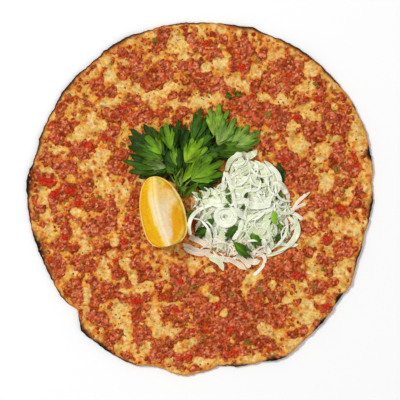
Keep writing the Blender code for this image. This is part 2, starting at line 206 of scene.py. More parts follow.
def linear(red, green, blue):
    """A colour given in the usual 0 to 255 steps, as the shaders need it."""
    c = np.array((red, green, blue)) / 255
    return np.where(c <= 0.04045, c / 12.92, ((c + 0.055) / 1.055) ** 2.4)


def ease(low, high, value):
    """0 at low, 1 at high, and a smooth step between."""
    share = np.clip((value - low) / (high - low), 0, 1)
    return share * share * (3 - 2 * share)


def mix(a, b, share):
    """The first colour with a share of the second."""
    share = np.asarray(share)[..., None]
    return a * (1 - share) + b * share


# ---------------------------------------------------------------- noise seen from above


def dice(ix, iy, seed):
    """A repeatable number from 0 to 1 for each whole-number cell."""
    n = (ix * 374761393 + iy * 668265263 + seed * 974634777) & 0xFFFFFFFF
    n = ((n ^ (n >> 13)) * 1274126177) & 0xFFFFFFFF
    return ((n ^ (n >> 16)) & 0xFFFFFF) / 0xFFFFFF


def noise(x, y, size, seed):
    """Smooth noise from about -1 to 1, with lumps of about that size."""
    u, v = np.asarray(x) / size, np.asarray(y) / size
    iu, iv = np.floor(u).astype(np.int64), np.floor(v).astype(np.int64)
    fu, fv = u - iu, v - iv
    total = 0.0
    for i in (0, 1):
        for j in (0, 1):
            turn = 2 * np.pi * dice(iu + i, iv + j, seed)
            slope = np.cos(turn) * (fu - i) + np.sin(turn) * (fv - j)
            weight_u = ease(0, 1, fu) if i else 1 - ease(0, 1, fu)
            weight_v = ease(0, 1, fv) if j else 1 - ease(0, 1, fv)
            total = total + slope * weight_u * weight_v
    return 1.7 * total


def rough(x, y, size, seed, octaves=3):
    """Noise in several sizes, each about half the one before."""
    total, height = 0.0, 1.0
    for k in range(octaves):
        total = total + height * noise(x, y, size / 2**k, seed + 17 * k)
        height *= 0.55
    return total


def grains(x, y, size, seed):
    """Scattered grains of about that size: distance to the nearest middle in grain sizes, how much
    further the second nearest is, and a number from 0 to 1 for each grain."""
    u, v = x / size, y / size
    iu, iv = np.floor(u).astype(np.int64), np.floor(v).astype(np.int64)
    first = np.full(u.shape, 9.0)
    second = np.full(u.shape, 9.0)
    number = np.zeros(u.shape)
    for i in (-1, 0, 1):
        for j in (-1, 0, 1):
            cu, cv = iu + i, iv + j
            away = np.hypot(cu + dice(cu, cv, seed) - u, cv + dice(cu, cv, seed + 1) - v)
            nearer = away < first
            second = np.where(nearer, first, np.minimum(second, away))
            number = np.where(nearer, dice(cu, cv, seed + 2), number)
            first = np.where(nearer, away, first)
    return first, second - first, number


def blobs(x, y, places):
    """1 in the middle of an oval place, 0.45 on its edge, and little beyond."""
    depth = np.zeros(np.shape(x))
    for cx, cy, half_length, half_width, *turn in places:
        c, s = math.cos(math.radians(sum(turn))), math.sin(math.radians(sum(turn)))
        u = ((x - cx) * c + (y - cy) * s) / half_length
        v = ((y - cy) * c - (x - cx) * s) / half_width
        depth = np.maximum(depth, np.exp(-0.8 * (u * u + v * v) ** 1.6))
    return depth


# ---------------------------------------------------------------- the outline, from the frame


def edge_of(node, x=0.0, y=0.0):
    """Radius of a node's outline about x, y at each half degree, from rays that come in from
    outside."""
    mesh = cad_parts[node].data
    tree = BVHTree.FromPolygons([v.co for v in mesh.vertices], [p.vertices for p in mesh.polygons])
    low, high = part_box(node)
    levels = np.linspace(low.z, high.z, 14)[1:-1]
    middle = Vector((x, y)) * MM
    radii = []
    for half_degrees in range(720):
        angle = math.radians(half_degrees / 2)
        way = Vector((math.cos(angle), math.sin(angle), 0))
        start = way + middle.to_3d()
        hits = [tree.ray_cast(start + Vector((0, 0, z)), -way)[0] for z in levels]
        radii.append(max((hit.xy - middle).dot(way.xy) for hit in hits if hit) / MM)
    return np.array(radii)


def reach(edge, degrees):
    """The radius that an outline has in a direction from 0 to 360 degrees."""
    return np.interp(2 * degrees, np.arange(len(edge)), edge)


def on_rim(angle):
    """A place near the rim in that direction, where noise that runs round the rim is read."""
    return RADIUS * np.cos(angle), RADIUS * np.sin(angle)


EDGE = edge_of("flatbread")
EDGE = np.append(EDGE, EDGE[0])


def edge_at(angle):
    """Radius of the bread's edge, with the small nicks that the frame leaves out."""
    return reach(EDGE, np.degrees(angle) % 360) + RIM_NICKS * rough(*on_rim(angle), 5, 31)


def share_at(x, y):
    """0 in the middle of the bread and 1 on its edge, and the direction."""
    angle = np.arctan2(y, x)
    return np.hypot(x, y) / edge_at(angle), angle


def char_at(angle):
    """How deep the char reaches in from the edge."""
    depth = 0.16 + 0.16 * noise(*on_rim(angle), 14, 51)
    for at, deep, half in CHAR:
        away = (np.degrees(angle) - at + 180) % 360 - 180
        depth = np.maximum(depth, 1.2 * deep * np.exp(-((away / half) ** 2)))
    return depth


# ---------------------------------------------------------------- the bread and what covers it


def fold_at(x, y):
    """1 along the top of a raised fold, and 0 away from it."""
    height = np.zeros(np.shape(x))
    for x0, y0, x1, y1, half in FOLDS:
        dx, dy = x1 - x0, y1 - y0
        along = np.clip(((x - x0) * dx + (y - y0) * dy) / (dx * dx + dy * dy), 0, 1)
        away = np.hypot(x - x0 - along * dx + 0.8 * noise(x, y, 9, 5), y - y0 - along * dy)
        taper = np.sqrt(np.clip(4 * along * (1 - along), 0.05, 1))
        height = np.maximum(height, taper * np.exp(-((away / half) ** 2)))
    return height


def rim_lift(angle):
    """How far the rim curls up."""
    return RIM_LIFT + RIM_LIFT_VARIES * noise(*on_rim(angle), 60, 43)


def dough_top(x, y, share, angle):
    """Height of the dough's top."""
    bead = RIM_BEAD * (1 + 0.6 * noise(*on_rim(angle), 26, 41))
    height = DOUGH_THICKNESS + DOUGH_UNDULATION * noise(x, y, 46, 3)
    height = height + bead * ease(0.9, 0.965, share) + rim_lift(angle) * ease(0.88, 1.0, share)
    away, _, which = grains(x, y, 13, 61)
    dome = np.clip(1 - (away / (0.18 + 0.22 * which)) ** 2, 0, 1)
    height = height + BLISTER * np.sqrt(dome) * (which > 0.45)
    return height + 0.22 * rough(x, y, 6, 9) + FOLD_HEIGHT * fold_at(x, y)


def rounding(share):
    """How far the top rounds over at the very edge."""
    return RIM_ROUNDING * ease(0.986, 1.0, share) ** 1.6


def cover_at(x, y, share):
    """How much meat lies at a place: above 0.37 it covers the dough."""
    wx = x + 1.5 * noise(x, y, 6, 101) + 0.5 * noise(x, y, 2.6, 102)
    wy = y + 1.5 * noise(x, y, 6, 111) + 0.5 * noise(x, y, 2.6, 112)
    amount = 0.75 * blobs(wx, wy, MEAT) - 1.0 * blobs(wx, wy, BARE) + 0.17
    amount = amount + 0.25 * rough(x, y, 6, 121, 2)
    away, _, which = grains(x + 0.8 * noise(x, y, 3, 125), y, 4.8, 126)
    amount = amount + 0.6 * np.clip(1 - (away / 0.45) ** 2, 0, 1) * (which > 0.62)
    return amount - 1.2 * ease(0.978, 0.996, share + 0.02 * noise(x, y, 9, 131))


def meat_at(x, y, cover):
    """Height of the meat over the dough, below zero where there is none, and its grains."""
    thick = ease(0.2, 0.5, cover)
    first, _, number = grains(x + 1.1 * noise(x, y, 3, 401), y + 1.1 * noise(x, y, 3, 402), 3.4, 411)
    lump = np.clip(1.15 - 1.3 * first**2, 0, 1)
    fine_x, fine_y = x + 0.4 * noise(x, y, 1.7, 403), y + 0.4 * noise(x, y, 1.7, 404)
    fine_first, _, fine_number = grains(fine_x, fine_y, 1.5, 421)
    fine = np.clip(1 - 1.6 * fine_first**2, 0, 1)
    clump = 0.5 + 0.5 * rough(x, y, 8, 431, 2)
    height = -0.7 + thick * (0.8 + 0.5 * clump + 0.55 * lump + 0.3 * fine)
    return height, lump, fine, number, fine_number


def covered_top(x, y):
    """Height of whatever lies uppermost, dough or meat."""
    share, angle = share_at(x, y)
    meat = meat_at(x, y, cover_at(x, y, share))[0]
    return dough_top(x, y, share, angle) + np.maximum(meat, 0)


def web(radii, step, place):
    """Points in rings about a middle, as many to a ring as keep the step, and triangles between
    them. place turns the share of the radius and the angle into a point."""
    points = [place(np.zeros(1), np.zeros(1))]
    rings = [[0]]
    count = 1
    for share in radii:
        around = max(6, int(round(2 * np.pi * share * RADIUS / step)))
        angle = 2 * np.pi * np.arange(around) / around
        points.append(place(np.full(around, share), angle))
        rings.append(list(range(count, count + around)))
        count += around
    faces = []
    for inner, outer in zip(rings, rings[1:]):
        faces += stitch(inner, outer)
    return np.concatenate(points), faces, rings[-1]


def stitch(inner, outer):
    """Triangles between two closed rings of points that both start at angle 0."""
    faces, i, j = [], 0, 0
    n, m = len(inner), len(outer)
    while i < n or j < m:
        if n > 1 and i < n and (i + 1) * m <= (j + 1) * n:
            faces.append((inner[i], outer[j % m], inner[(i + 1) % n]))
            i += 1
        elif j < m:
            faces.append((inner[i % n], outer[j], outer[(j + 1) % m]))
            j += 1
        else:
            break
    return faces


def make_mesh(name, points, faces, colours, material, slot):
    """A mesh piece from millimetre points, with a colour at each point."""
    mesh = bpy.data.meshes.new(name)
    mesh.from_pydata((np.asarray(points) * MM).tolist(), [], [tuple(f) for f in faces])
    mesh.validate()
    layer = mesh.attributes.new("tint", "FLOAT_COLOR", "POINT")
    rgba = np.ones((len(points), 4), np.float32)
    rgba[:, :3] = np.clip(colours, 0, 1)
    layer.data.foreach_set("color", rgba.ravel())
    mesh.shade_smooth()
    mesh.materials.append(material)
    piece = bpy.data.objects.new(name, mesh)
    bpy.context.scene.collection.objects.link(piece)
    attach(piece, "root")
    return piece


# Dough where it lies bare, then as the oil of the meat stains it, then toasted to charred.
PALE, GOLD = (230, 190, 114), (226, 172, 80)
HALO, DEEP, RUST = (226, 150, 46), (200, 100, 32), (180, 66, 20)
TOAST, BROWN, BURNT, BLACK = (206, 120, 40), (118, 60, 26), (72, 34, 20), (24, 14, 8)

# Uneven patches: colour, share, from and to which level of the noise, its size, seed and octaves.
DOUGH_PATCHES = (
    ((236, 184, 70), 0.7, 0.0, 0.6, 8, 205, 3), ((242, 214, 148), 0.7, 0.15, 0.6, 4.5, 207, 2),
    ((206, 156, 62), 0.6, 0.25, 0.7, 5.5, 209, 2),
)
UNDER_PATCHES = (((132, 80, 38), 0.8, 0.35, 0.8, 9, 311, 3), ((52, 34, 24), 0.8, 0.75, 1.1, 7, 321, 3))
MEAT_PATCHES = (
    ((198, 92, 66), 0.7, -0.5, 0.2, 12, 502, 2), ((204, 92, 10), 0.6, 0.15, 0.5, 5, 503, 2),
    ((186, 36, 12), 0.7, 0.2, 0.5, 4, 505, 2), ((140, 84, 12), 0.6, 0.25, 0.5, 4, 507, 2),
)
MEAT_SHADOWS = (((96, 24, 4), 0.6, 0.25, 0.8, 3.6, 515, 2),)

# Stains near the meat: colour, share, from and to how much meat, how uneven, in what size, seed.
STAINS = (
    (HALO, 0.75, 0.0, 0.28, 0.16, 3.4, 211), (DEEP, 0.8, 0.18, 0.34, 0.1, 2.6, 212),
    (RUST, 0.8, 0.24, 0.36, 0.08, 2.2, 221),
)

# Dots on the dough: colour, share, and which of the grains have it.
SPICE = (
    ((218, 118, 40), 0.8, 0, 0.24), ((190, 58, 26), 0.8, 0.88, 1), ((140, 108, 44), 0.6, 0.8, 0.86),
)
SPLASHES = (
    ((228, 112, 14), 0.75, 0, 0.24), ((176, 58, 20), 0.85, 0.36, 0.5), ((150, 126, 40), 0.65, 0.84, 1),
)
# Fine specks: darker orange ones, and pale ones that are painted highlights, glints of oil.
SPECKS_AND_GLINTS = (((196, 112, 40), 0.65, 0, 0.3), ((244, 216, 150), 0.4, 0.84, 1))


def tinted(tone, rgb, share):
    """The tone with a share of another colour."""
    return mix(tone, linear(*rgb), share)


def between(first, second, share):
    """A colour between two."""
    return mix(linear(*first), linear(*second), share)


def patched(tone, x, y, patches):
    """Uneven patches of other colours."""
    for rgb, share, low, high, size, seed, octaves in patches:
        tone = tinted(tone, rgb, share * ease(low, high, rough(x, y, size, seed, octaves)))
    return tone


def dotted(tone, dots, which, shades):
    """Dots of several colours, each on its part of the grains."""
    for rgb, share, low, high in shades:
        tone = tinted(tone, rgb, share * dots * ((low <= which) & (which <= high)))
    return tone


def stirred(x, y, amount, size, seed):
    """The place moved about a little, so that what is read there looks less regular."""
    return x + amount * noise(x, y, size, seed), y + amount * noise(x, y, size, seed + 1)


def dough_colour(x, y, share, angle, cover):
    """Bare dough with spice and painted glints, stained near the meat, toasted and charred at the edge."""
    tone = between(PALE, GOLD, ease(-0.6, 0.2, cover + 0.4 * rough(x, y, 6, 201)))
    tone = patched(tone, x, y, DOUGH_PATCHES)
    for rgb, most, low, high, uneven, size, seed in STAINS:
        tone = tinted(tone, rgb, most * ease(low, high, cover + uneven * rough(x, y, size, seed, 2)))
    away, _, which = grains(*stirred(x, y, 0.5, 2, 213), 3.3, 215)
    tone = dotted(tone, ease(0.46, 0.2, away) * ease(-0.75, -0.3, cover), which, SPICE)
    away, _, which = grains(*stirred(x, y, 1.2, 4, 218), 5.5, 220)
    tone = dotted(tone, ease(0.5, 0.15, away) * ease(-0.9, -0.4, cover), which, SPLASHES)
    # Fine specks; the pale ones are painted highlights, glints of oil.
    away, _, which = grains(x, y, 1.9, 217)
    tone = dotted(tone, ease(0.5, 0.2, away), which, SPECKS_AND_GLINTS)
    inward = (1 - share) * edge_at(angle)
    tone = tinted(tone, TOAST, 0.6 * ease(5, 0.5, inward + 3 * noise(x, y, 8, 231)))
    deep = char_at(angle)
    wobble = 1 + 0.5 * noise(x, y, 3, 241)
    charred = ease(0.1, 0.9, deep)
    tone = tinted(tone, BROWN, ease(2.6 * deep * wobble, 0.7 * deep, inward) * (0.4 + 0.6 * charred))
    crust = between(BURNT, BLACK, ease(1.2, 2.6, deep))
    return mix(tone, crust, ease(1.15 * deep * wobble, 0.3 * deep, inward) * charred)


def under_colour(x, y, share, angle):
    """The pale underside with its brown spots, and the charred side of the edge."""
    tone = between((222, 184, 124), (196, 146, 84), ease(-0.4, 0.6, rough(x, y, 22, 301)))
    tone = patched(tone, x, y, UNDER_PATCHES)
    inward, deep = (1 - share) * RADIUS, char_at(angle)
    edge = between((214, 150, 76), (168, 98, 44), ease(-0.4, 0.5, rough(x, y, 7, 341, 2)))
    tone = mix(tone, edge, 0.9 * ease(14, 2, inward + 3 * noise(x, y, 9, 331)))
    crust = between(BURNT, BLACK, ease(1.2, 2.6, deep))
    return mix(tone, crust, ease(3.2 * deep, deep, inward) * ease(0.5, 1.3, deep))


def make_bread(material):
    """The whole flatbread as one closed mesh: top rings, rounded rim, underside."""

    def under(share, angle):
        radius = share * edge_at(angle)
        return np.stack((radius * np.cos(angle), radius * np.sin(angle), 0 * radius), -1)

    def top(share, angle):
        x, y, _ = under(share, angle).T
        return np.stack((x, y, dough_top(x, y, share, angle) - rounding(share)), -1)

    inner = np.arange(TOP_STEP, RADIUS - TOP_INSETS[0] - 0.6, TOP_STEP) / RADIUS
    close = 1 - np.array(TOP_INSETS) / RADIUS
    points, faces, last = web(np.append(inner, close), TOP_STEP, top)
    x, y = points[:, 0], points[:, 1]
    share, angle = share_at(x, y)
    colours = dough_colour(x, y, share, angle, cover_at(x, y, share))
    count = len(last)
    rim = points[last]
    lift = 0.75 * rim_lift(2 * np.pi * np.arange(count) / count)
    parts, total = [points], len(points)
    for inset, rise in SIDE_RINGS:
        ring = rim * (1 - inset / RADIUS)
        low = np.maximum(lift * (1 + min(rise, 0)), 0)
        ring[:, 2] = low + (rim[:, 2] - lift) * max(rise, 0)
        parts.append(ring)
        ids = list(range(total, total + count))
        faces += stitch(last, ids)
        total, last = total + count, ids
    inmost = RADIUS - SIDE_RINGS[-1][0] - RIM_ROUNDING
    points, low_faces, low_last = web(np.arange(UNDER_STEP, inmost, UNDER_STEP) / RADIUS, UNDER_STEP, under)
    parts.append(points)
    faces += [(a + total, c + total, b + total) for a, b, c in low_faces]
    faces += [(a, c, b) for a, b, c in stitch([k + total for k in low_last], last)]
    x, y = np.concatenate(parts[1:])[:, :2].T
    colours = np.concatenate((colours, under_colour(x, y, *share_at(x, y))))
    piece = make_mesh("bread_fine", np.concatenate(parts), faces, colours, material, "baked_dough")
    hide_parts("flatbread")


# ---------------------------------------------------------------- materials


def add_noise(nodes, links, where, size, detail):
    """Fine noise with lumps of that size in millimetres."""
    fine = nodes.new("ShaderNodeTexNoise")
    fine.inputs["Scale"].default_value = 1 / (size * MM)
    fine.inputs["Detail"].default_value = detail
    links.new(where.outputs["Object"], fine.inputs["Vector"])
    return fine


def add_range(nodes, links, source, low, high):
    """The source's value turned into a value about from low to high."""
    level = nodes.new("ShaderNodeMapRange")
    level.inputs["To Min"].default_value = low
    level.inputs["To Max"].default_value = high
    links.new(source.outputs["Fac"], level.inputs["Value"])
    return level


def food_material(name, roughness, relief, relief_size, patch_size, patch, shine, subsurface=0.0):
    """Colour from the mesh's tint, varied by fine noise, with its own relief and gloss."""
    material = bpy.data.materials.new(name)
    material.use_nodes = True
    nodes, links = material.node_tree.nodes, material.node_tree.links
    shader = nodes["Principled BSDF"]
    tint = nodes.new("ShaderNodeAttribute")
    tint.attribute_name = "tint"
    where = nodes.new("ShaderNodeTexCoord")
    fine = add_noise(nodes, links, where, patch_size, 4)
    fine.inputs["Roughness"].default_value = 0.65
    level = add_range(nodes, links, fine, 1 - patch, 1 + patch)
    level.inputs["From Min"].default_value = 0.3
    level.inputs["From Max"].default_value = 0.7
    scale = nodes.new("ShaderNodeVectorMath")
    scale.operation = "SCALE"
    links.new(tint.outputs["Color"], scale.inputs[0])
    links.new(level.outputs["Result"], scale.inputs["Scale"])
    links.new(scale.outputs["Vector"], shader.inputs["Base Color"])
    gloss = add_range(nodes, links, fine, roughness - 0.12, roughness + 0.12)
    links.new(gloss.outputs["Result"], shader.inputs["Roughness"])
    grit = add_noise(nodes, links, where, relief_size, 5)
    bump = nodes.new("ShaderNodeBump")
    bump.inputs["Strength"].default_value = 1.0
    bump.inputs["Distance"].default_value = relief * MM
    links.new(grit.outputs["Fac"], bump.inputs["Height"])
    links.new(bump.outputs["Normal"], shader.inputs["Normal"])
    shader.inputs["Specular IOR Level"].default_value = shine
    if subsurface:
        shader.inputs["Subsurface Weight"].default_value = subsurface
        shader.inputs["Subsurface Radius"].default_value = (1, 1, 0.8)
        shader.inputs["Subsurface Scale"].default_value = 2 * MM
    return material


# ---------------------------------------------------------------- meat


MEAT_GLOW = np.array((1.14, 1.12, 1.04))


def make_meat(material):
    """Patches of mince as one granular sheet, which dips under the dough where the dough is bare."""
    n = int(MEAT_SPAN / MEAT_STEP)
    axis = (np.arange(n) - (n - 1) / 2) * MEAT_STEP
    x, y = np.meshgrid(axis, axis)
    share, angle = share_at(x, y)
    cover = cover_at(x, y, share)
    height, *grain = meat_at(x, y, cover)
    z = dough_top(x, y, share, angle) - rounding(share) + height
    keep = (cover > MEAT_FROM) & (share < 0.995)
    keep_cell = keep[:-1, :-1] | keep[1:, :-1] | keep[:-1, 1:] | keep[1:, 1:]
    keep_cell &= share[:-1, :-1] < 0.994
    used = np.zeros(x.shape, bool)
    for dj in (0, 1):
        for di in (0, 1):
            used[dj : dj + n - 1, di : di + n - 1] |= keep_cell
    ids = np.full(x.shape, -1)
    ids[used] = np.arange(used.sum())
    j, i = np.nonzero(keep_cell)
    faces = np.stack((ids[j, i], ids[j, i + 1], ids[j + 1, i + 1], ids[j + 1, i]), -1)
    points = np.stack((x[used], y[used], z[used]), -1)
    colours = meat_colour(x, y, cover, *grain)[used]
    piece = make_mesh("meat_spread", points, faces.tolist(), colours, material, "minced_meat")
    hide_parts("meat_topping")


def meat_colour(x, y, cover, lump, fine, number, fine_number):
    """Brick brown meat with paler and darker grains, painted highlights on fine grains, painted shade
    between grains and in patches, tomato and pepper stains.
    """
    tone = between((150, 50, 14), (194, 88, 36), ease(-0.5, 0.5, rough(x, y, 6, 501, 2)))
    tone = patched(tone, x, y, MEAT_PATCHES)
    tone = tinted(tone, (216, 126, 90), 0.6 * ease(0.7, 0.95, number) * lump)
    # Painted highlights: pale pink glints of oil on some of the fine grains.
    tone = tinted(tone, (236, 166, 122), 0.7 * ease(0.76, 0.9, fine_number) * fine)
    tone = tinted(tone, (120, 34, 12), 0.6 * ease(0.36, 0.1, number))
    tone = tinted(tone, (96, 28, 10), 0.9 * ease(0.3, 0.14, fine_number) * fine)
    # Painted shade: darker in the hollows between the grains.
    tone = tinted(tone, (84, 26, 8), 0.55 * ease(0.4, 0.05, lump))
    tone = patched(tone, x, y, MEAT_SHADOWS)
    red = blobs(x + noise(x, y, 3, 511), y + noise(x, y, 3, 521), RED)
    tone = tinted(tone, (192, 30, 12), 0.85 * ease(0.2, 0.5, red))
    tone = tinted(tone, (122, 106, 30), 0.6 * ease(0.1, 0.5, blobs(x, y, GREEN)))
    oil = between((206, 108, 30), (170, 58, 18), ease(-0.2, 0.3, rough(x, y, 7, 519, 2)))
    tone = mix(tone, oil, 0.6 * ease(0.4, 0.24, cover + 0.06 * noise(x, y, 2, 517)))
    return tone * MEAT_GLOW


# ---------------------------------------------------------------- loose bits


def ball(subdivisions):
    """Points and triangles of a small round lump."""
    shape = bmesh.new()
    bmesh.ops.create_icosphere(shape, subdivisions=subdivisions, radius=1.0)
    points = np.array([v.co[:] for v in shape.verts])
    faces = np.array([[v.index for v in f.verts] for f in shape.faces])
    shape.free()
    return points, faces


def scatter(name, places, sizes, turns, colours, uneven, material, subdivisions=2):
    """One lump at each place, with half sizes along, across and up, bumps of its own, and painted light:
    lighter on top and darker below.
    """
    points, faces = ball(subdivisions)
    count = len(places)
    luck = np.random.default_rng(count)
    bumps = np.clip(1 + uneven * luck.normal(0, 1, (count, len(points), 1)), 0.5, 1.6)
    local = points[None] * bumps * sizes[:, None, :]
    tilt = luck.normal(0, 0.25, (count, 1))
    c, s = np.cos(turns)[:, None], np.sin(turns)[:, None]
    x = local[..., 0] * c - local[..., 1] * s
    y = local[..., 0] * s + local[..., 1] * c
    z = local[..., 2] + tilt * local[..., 0]
    joined = np.stack((x, y, z), -1) + places[:, None, :]
    shift = (np.arange(count) * len(points))[:, None, None]
    # Painted light and shade: points higher on a lump lighter, lower ones darker, with some random tone.
    shade = points[None, :, 2:] * 0.4 + luck.normal(0, 0.3, bumps.shape)
    tints = (colours[:, None, :] * (1 + 0.25 * shade)).reshape(-1, 3)
    all_faces = (faces[None] + shift).reshape(-1, 3).tolist()
    make_mesh(name, joined.reshape(-1, 3), all_faces, tints, material, "minced_meat")


def spots_at(x, y):
    """Places on whatever lies uppermost."""
    return np.stack((x, y, covered_top(x, y)), -1)


def chosen_spots(count, chance, seed):
    """Random places on the bread, kept by the chance that a function of the cover gives."""
    luck = np.random.default_rng(seed)
    tries = 12 * count
    radius, angle = RADIUS * np.sqrt(luck.random(tries)), 2 * np.pi * luck.random(tries)
    x, y = radius * np.cos(angle), radius * np.sin(angle)
    share = share_at(x, y)[0]
    keep = (luck.random(tries) < chance(cover_at(x, y, share))) & (share < 0.985)
    return spots_at(x[keep][:count], y[keep][:count]), luck


def picked(luck, count, shades):
    """A colour for each of many things, somewhere between shades."""
    weights = luck.dirichlet(0.5 * np.ones(len(shades)), count)
    return weights @ np.array([linear(*rgb) for rgb in shades])


def split_spots(places, per_place, luck, shrink):
    """Several smaller bits for each oval place."""
    rows = []
    for x, y, along, across, *turn in places:
        c, s = math.cos(math.radians(sum(turn))), math.sin(math.radians(sum(turn)))
        for _ in range(per_place):
            a, r = 2 * np.pi * luck.random(), 0.6 * math.sqrt(luck.random())
            u, v = r * along * math.cos(a), r * across * math.sin(a)
            size = shrink * luck.uniform(0.7, 1.1)
            rows.append((x + u * c - v * s, y + u * s + v * c, along * size, across * size, sum(turn)))
    return np.array(rows)


CRUMBS, HERB_FLECKS = 1500, 380
MINCE_SHADES = ((170, 76, 32), (196, 104, 56), (146, 58, 24), (206, 120, 44))
RED_SHADES = ((192, 44, 14), (160, 24, 8), (214, 84, 18), (196, 60, 28))
GREEN_SHADES = ((132, 112, 36), (150, 128, 56), (104, 84, 26), (98, 94, 26))
HERB_SHADES = ((92, 74, 24), (66, 44, 18), (110, 100, 36), (140, 70, 24))


def make_crumbs(material):
    """Loose crumbs of mince, most of them along the edges of the meat."""
    places, luck = chosen_spots(CRUMBS, lambda c: ease(-0.2, 0.3, c) * ease(0.9, 0.5, c) + 0.015, 21)
    size = 0.45 + 0.9 * luck.random(len(places)) ** 2
    sizes = size[:, None] * luck.uniform(0.7, 1.5, (len(places), 3)) * (1, 1, 0.5)
    tints = picked(luck, len(places), MINCE_SHADES)
    turns = 2 * np.pi * luck.random(len(places))
    scatter("mince_crumbs", places, sizes, turns, tints, 0.16, material)


def make_dice(name, places, per_place, shrink, loose_count, largest, plump, uneven, shades, seed, material):
    """Diced vegetables at their places, and smaller dice strewn about."""
    fixed = split_spots(places, per_place, np.random.default_rng(seed), shrink)
    loose, luck = chosen_spots(loose_count, lambda c: 0.5 + 0 * c, seed + 1)
    small = luck.uniform(0.5, largest, (len(loose), 2))
    strewn = np.column_stack((loose[:, :2], small, 180 * luck.random(len(loose))))
    x, y, along, across, turn = np.concatenate((fixed, strewn)).T
    spots = spots_at(x, y)
    sizes = np.column_stack((along, across, 0.3 + plump * np.minimum(along, across)))
    spots[:, 2] -= 0.1 * sizes[:, 2]
    tints = picked(luck, len(x), shades)
    turns = np.radians(turn) + luck.normal(0, 0.5, len(x))
    scatter(name, spots, sizes, turns, tints, uneven, material)


def make_herb_flecks(material):
    """Flecks of dried herbs."""
    places, luck = chosen_spots(HERB_FLECKS, lambda c: 0.4 + 0 * c, 27)
    sizes = luck.uniform(0.35, 0.7, (len(places), 3)) * (1.2, 0.8, 0.35)
    places[:, 2] += 0.15
    tints = picked(luck, len(places), HERB_SHADES)
    turns = 2 * np.pi * luck.random(len(places))
    scatter("herb_flecks", places, sizes, turns, tints, 0.1, material, 1)


# ---------------------------------------------------------------- lofted shapes and piles of them


def loft(sections, ring=False):
    """A closed skin over sections, each a closed loop of as many points."""
    n, m = sections.shape[:2]
    ids = np.arange(n * m).reshape(n, m)
    low = ids if ring else ids[:-1]
    high = np.roll(ids, -1, axis=0) if ring else ids[1:]
    quads = np.stack((low, np.roll(low, -1, 1), np.roll(high, -1, 1), high), -1).reshape(-1, 4)
    points = sections.reshape(-1, 3)
    a, b, c, d = (points[quads[:, k]] - points.mean(0) for k in range(4))
    volume = (np.cross(a, b) * c).sum() + (np.cross(a, c) * d).sum()
    faces = quads.tolist()
    if not ring:
        faces += [ids[0][::-1].tolist(), ids[-1].tolist()]
    if volume < 0:
        faces = [face[::-1] for face in faces]
    return points, faces


class Pile:
    """Many small solids gathered into one mesh."""

    def __init__(self):
        self.points, self.faces, self.colours, self.count = [], [], [], 0

    def add(self, points, faces, colours):
        self.points.append(points)
        self.colours.append(np.broadcast_to(colours, points.shape))
        self.faces += [[k + self.count for k in face] for face in faces]
        self.count += len(points)

    def piece(self, name, material, slot):
        points, colours = np.concatenate(self.points), np.concatenate(self.colours)
        return make_mesh(name, points, self.faces, colours, material, slot)


# ---------------------------------------------------------------- how high things lie


class Ground:
    """The height of whatever lies uppermost, on a grid seen from above."""

    def __init__(self, low_x, low_y, high_x, high_y, step):
        self.low, self.step = np.array((low_x, low_y)), step
        self.x, self.y = np.meshgrid(np.arange(low_x, high_x, step), np.arange(low_y, high_y, step))
        self.z = covered_top(self.x, self.y)
        self.bare = self.z.copy()

    def cell(self, x, y):
        """The grid cell of a place."""
        i = np.clip(np.round((x - self.low[0]) / self.step).astype(int), 0, self.z.shape[1] - 1)
        j = np.clip(np.round((y - self.low[1]) / self.step).astype(int), 0, self.z.shape[0] - 1)
        return j, i

    def at(self, x, y):
        return self.z[self.cell(x, y)]

    def smoothed(self, reach):
        """The same heights, spread sideways and then blurred, so that nothing lies above them."""
        z = self.z
        for _ in range(reach):
            for axis in (0, 1):
                z = np.maximum(z, np.maximum(np.roll(z, 1, axis), np.roll(z, -1, axis)))
        for _ in range(reach):
            for axis in (0, 1):
                z = (z + np.roll(z, 1, axis) + np.roll(z, -1, axis)) / 3
        return z

    def lay(self, x, y, z, spread=0):
        """Raises the ground to points that have been laid on it, and to cells next to them."""
        for dj in range(-spread, spread + 1):
            for di in range(-spread, spread + 1):
                np.maximum.at(self.z, self.cell(x + di * self.step, y + dj * self.step), z)


# ---------------------------------------------------------------- lemon


# From the wedge's middle, its half length to the tip and to the blunt end; half the angle between
# the cut faces, how far the wedge rolls to a side, and how far its core ridge bows, in degrees and mm.
LEMON_RADIUS = 24.2
LEMON_TIP = 35.6
LEMON_BLUNT = 25.2
LEMON_HALF_CUT = 54
LEMON_ROLL = 8
LEMON_BOW = 3.6
LEMON_HEADING = math.radians(103)
LEMON_X, LEMON_Y = -33.2, -15.8
LEMON_FLOOR = 5.2
LEMON_STATIONS, FACE_POINTS, RIND_POINTS = 120, 44, 82
FLESH_BULGE, FLESH_SAG, FLESH_SACS, PORE_DEPTH = 1.3, 0.2, 0.5, 0.12

# Where the right cut face has a pale haze of painted sheen, then the same on the left one, then where the
# right is orange.
SHEEN_HAZE = (
    (-28, 1, 9, 7, 20), (-31, -8, 6, 9, 15), (-30, -18, 5, 9, 15), (-27, -27, 3.5, 8, 15),
    (-36, 6, 2.5, 8, 10),
)
LEFT_SHEEN_HAZE = ((-41.5, -1, 2.6, 9, 8), (-38.5, -16, 2, 8, 10), (-40, -9, 2, 8, 8))
ORANGE = ((-19, -15, 5, 10, 20), (-24, -30, 6, 7), (-27, 9, 5, 3, -40), (-21, -22, 5, 8, 10))


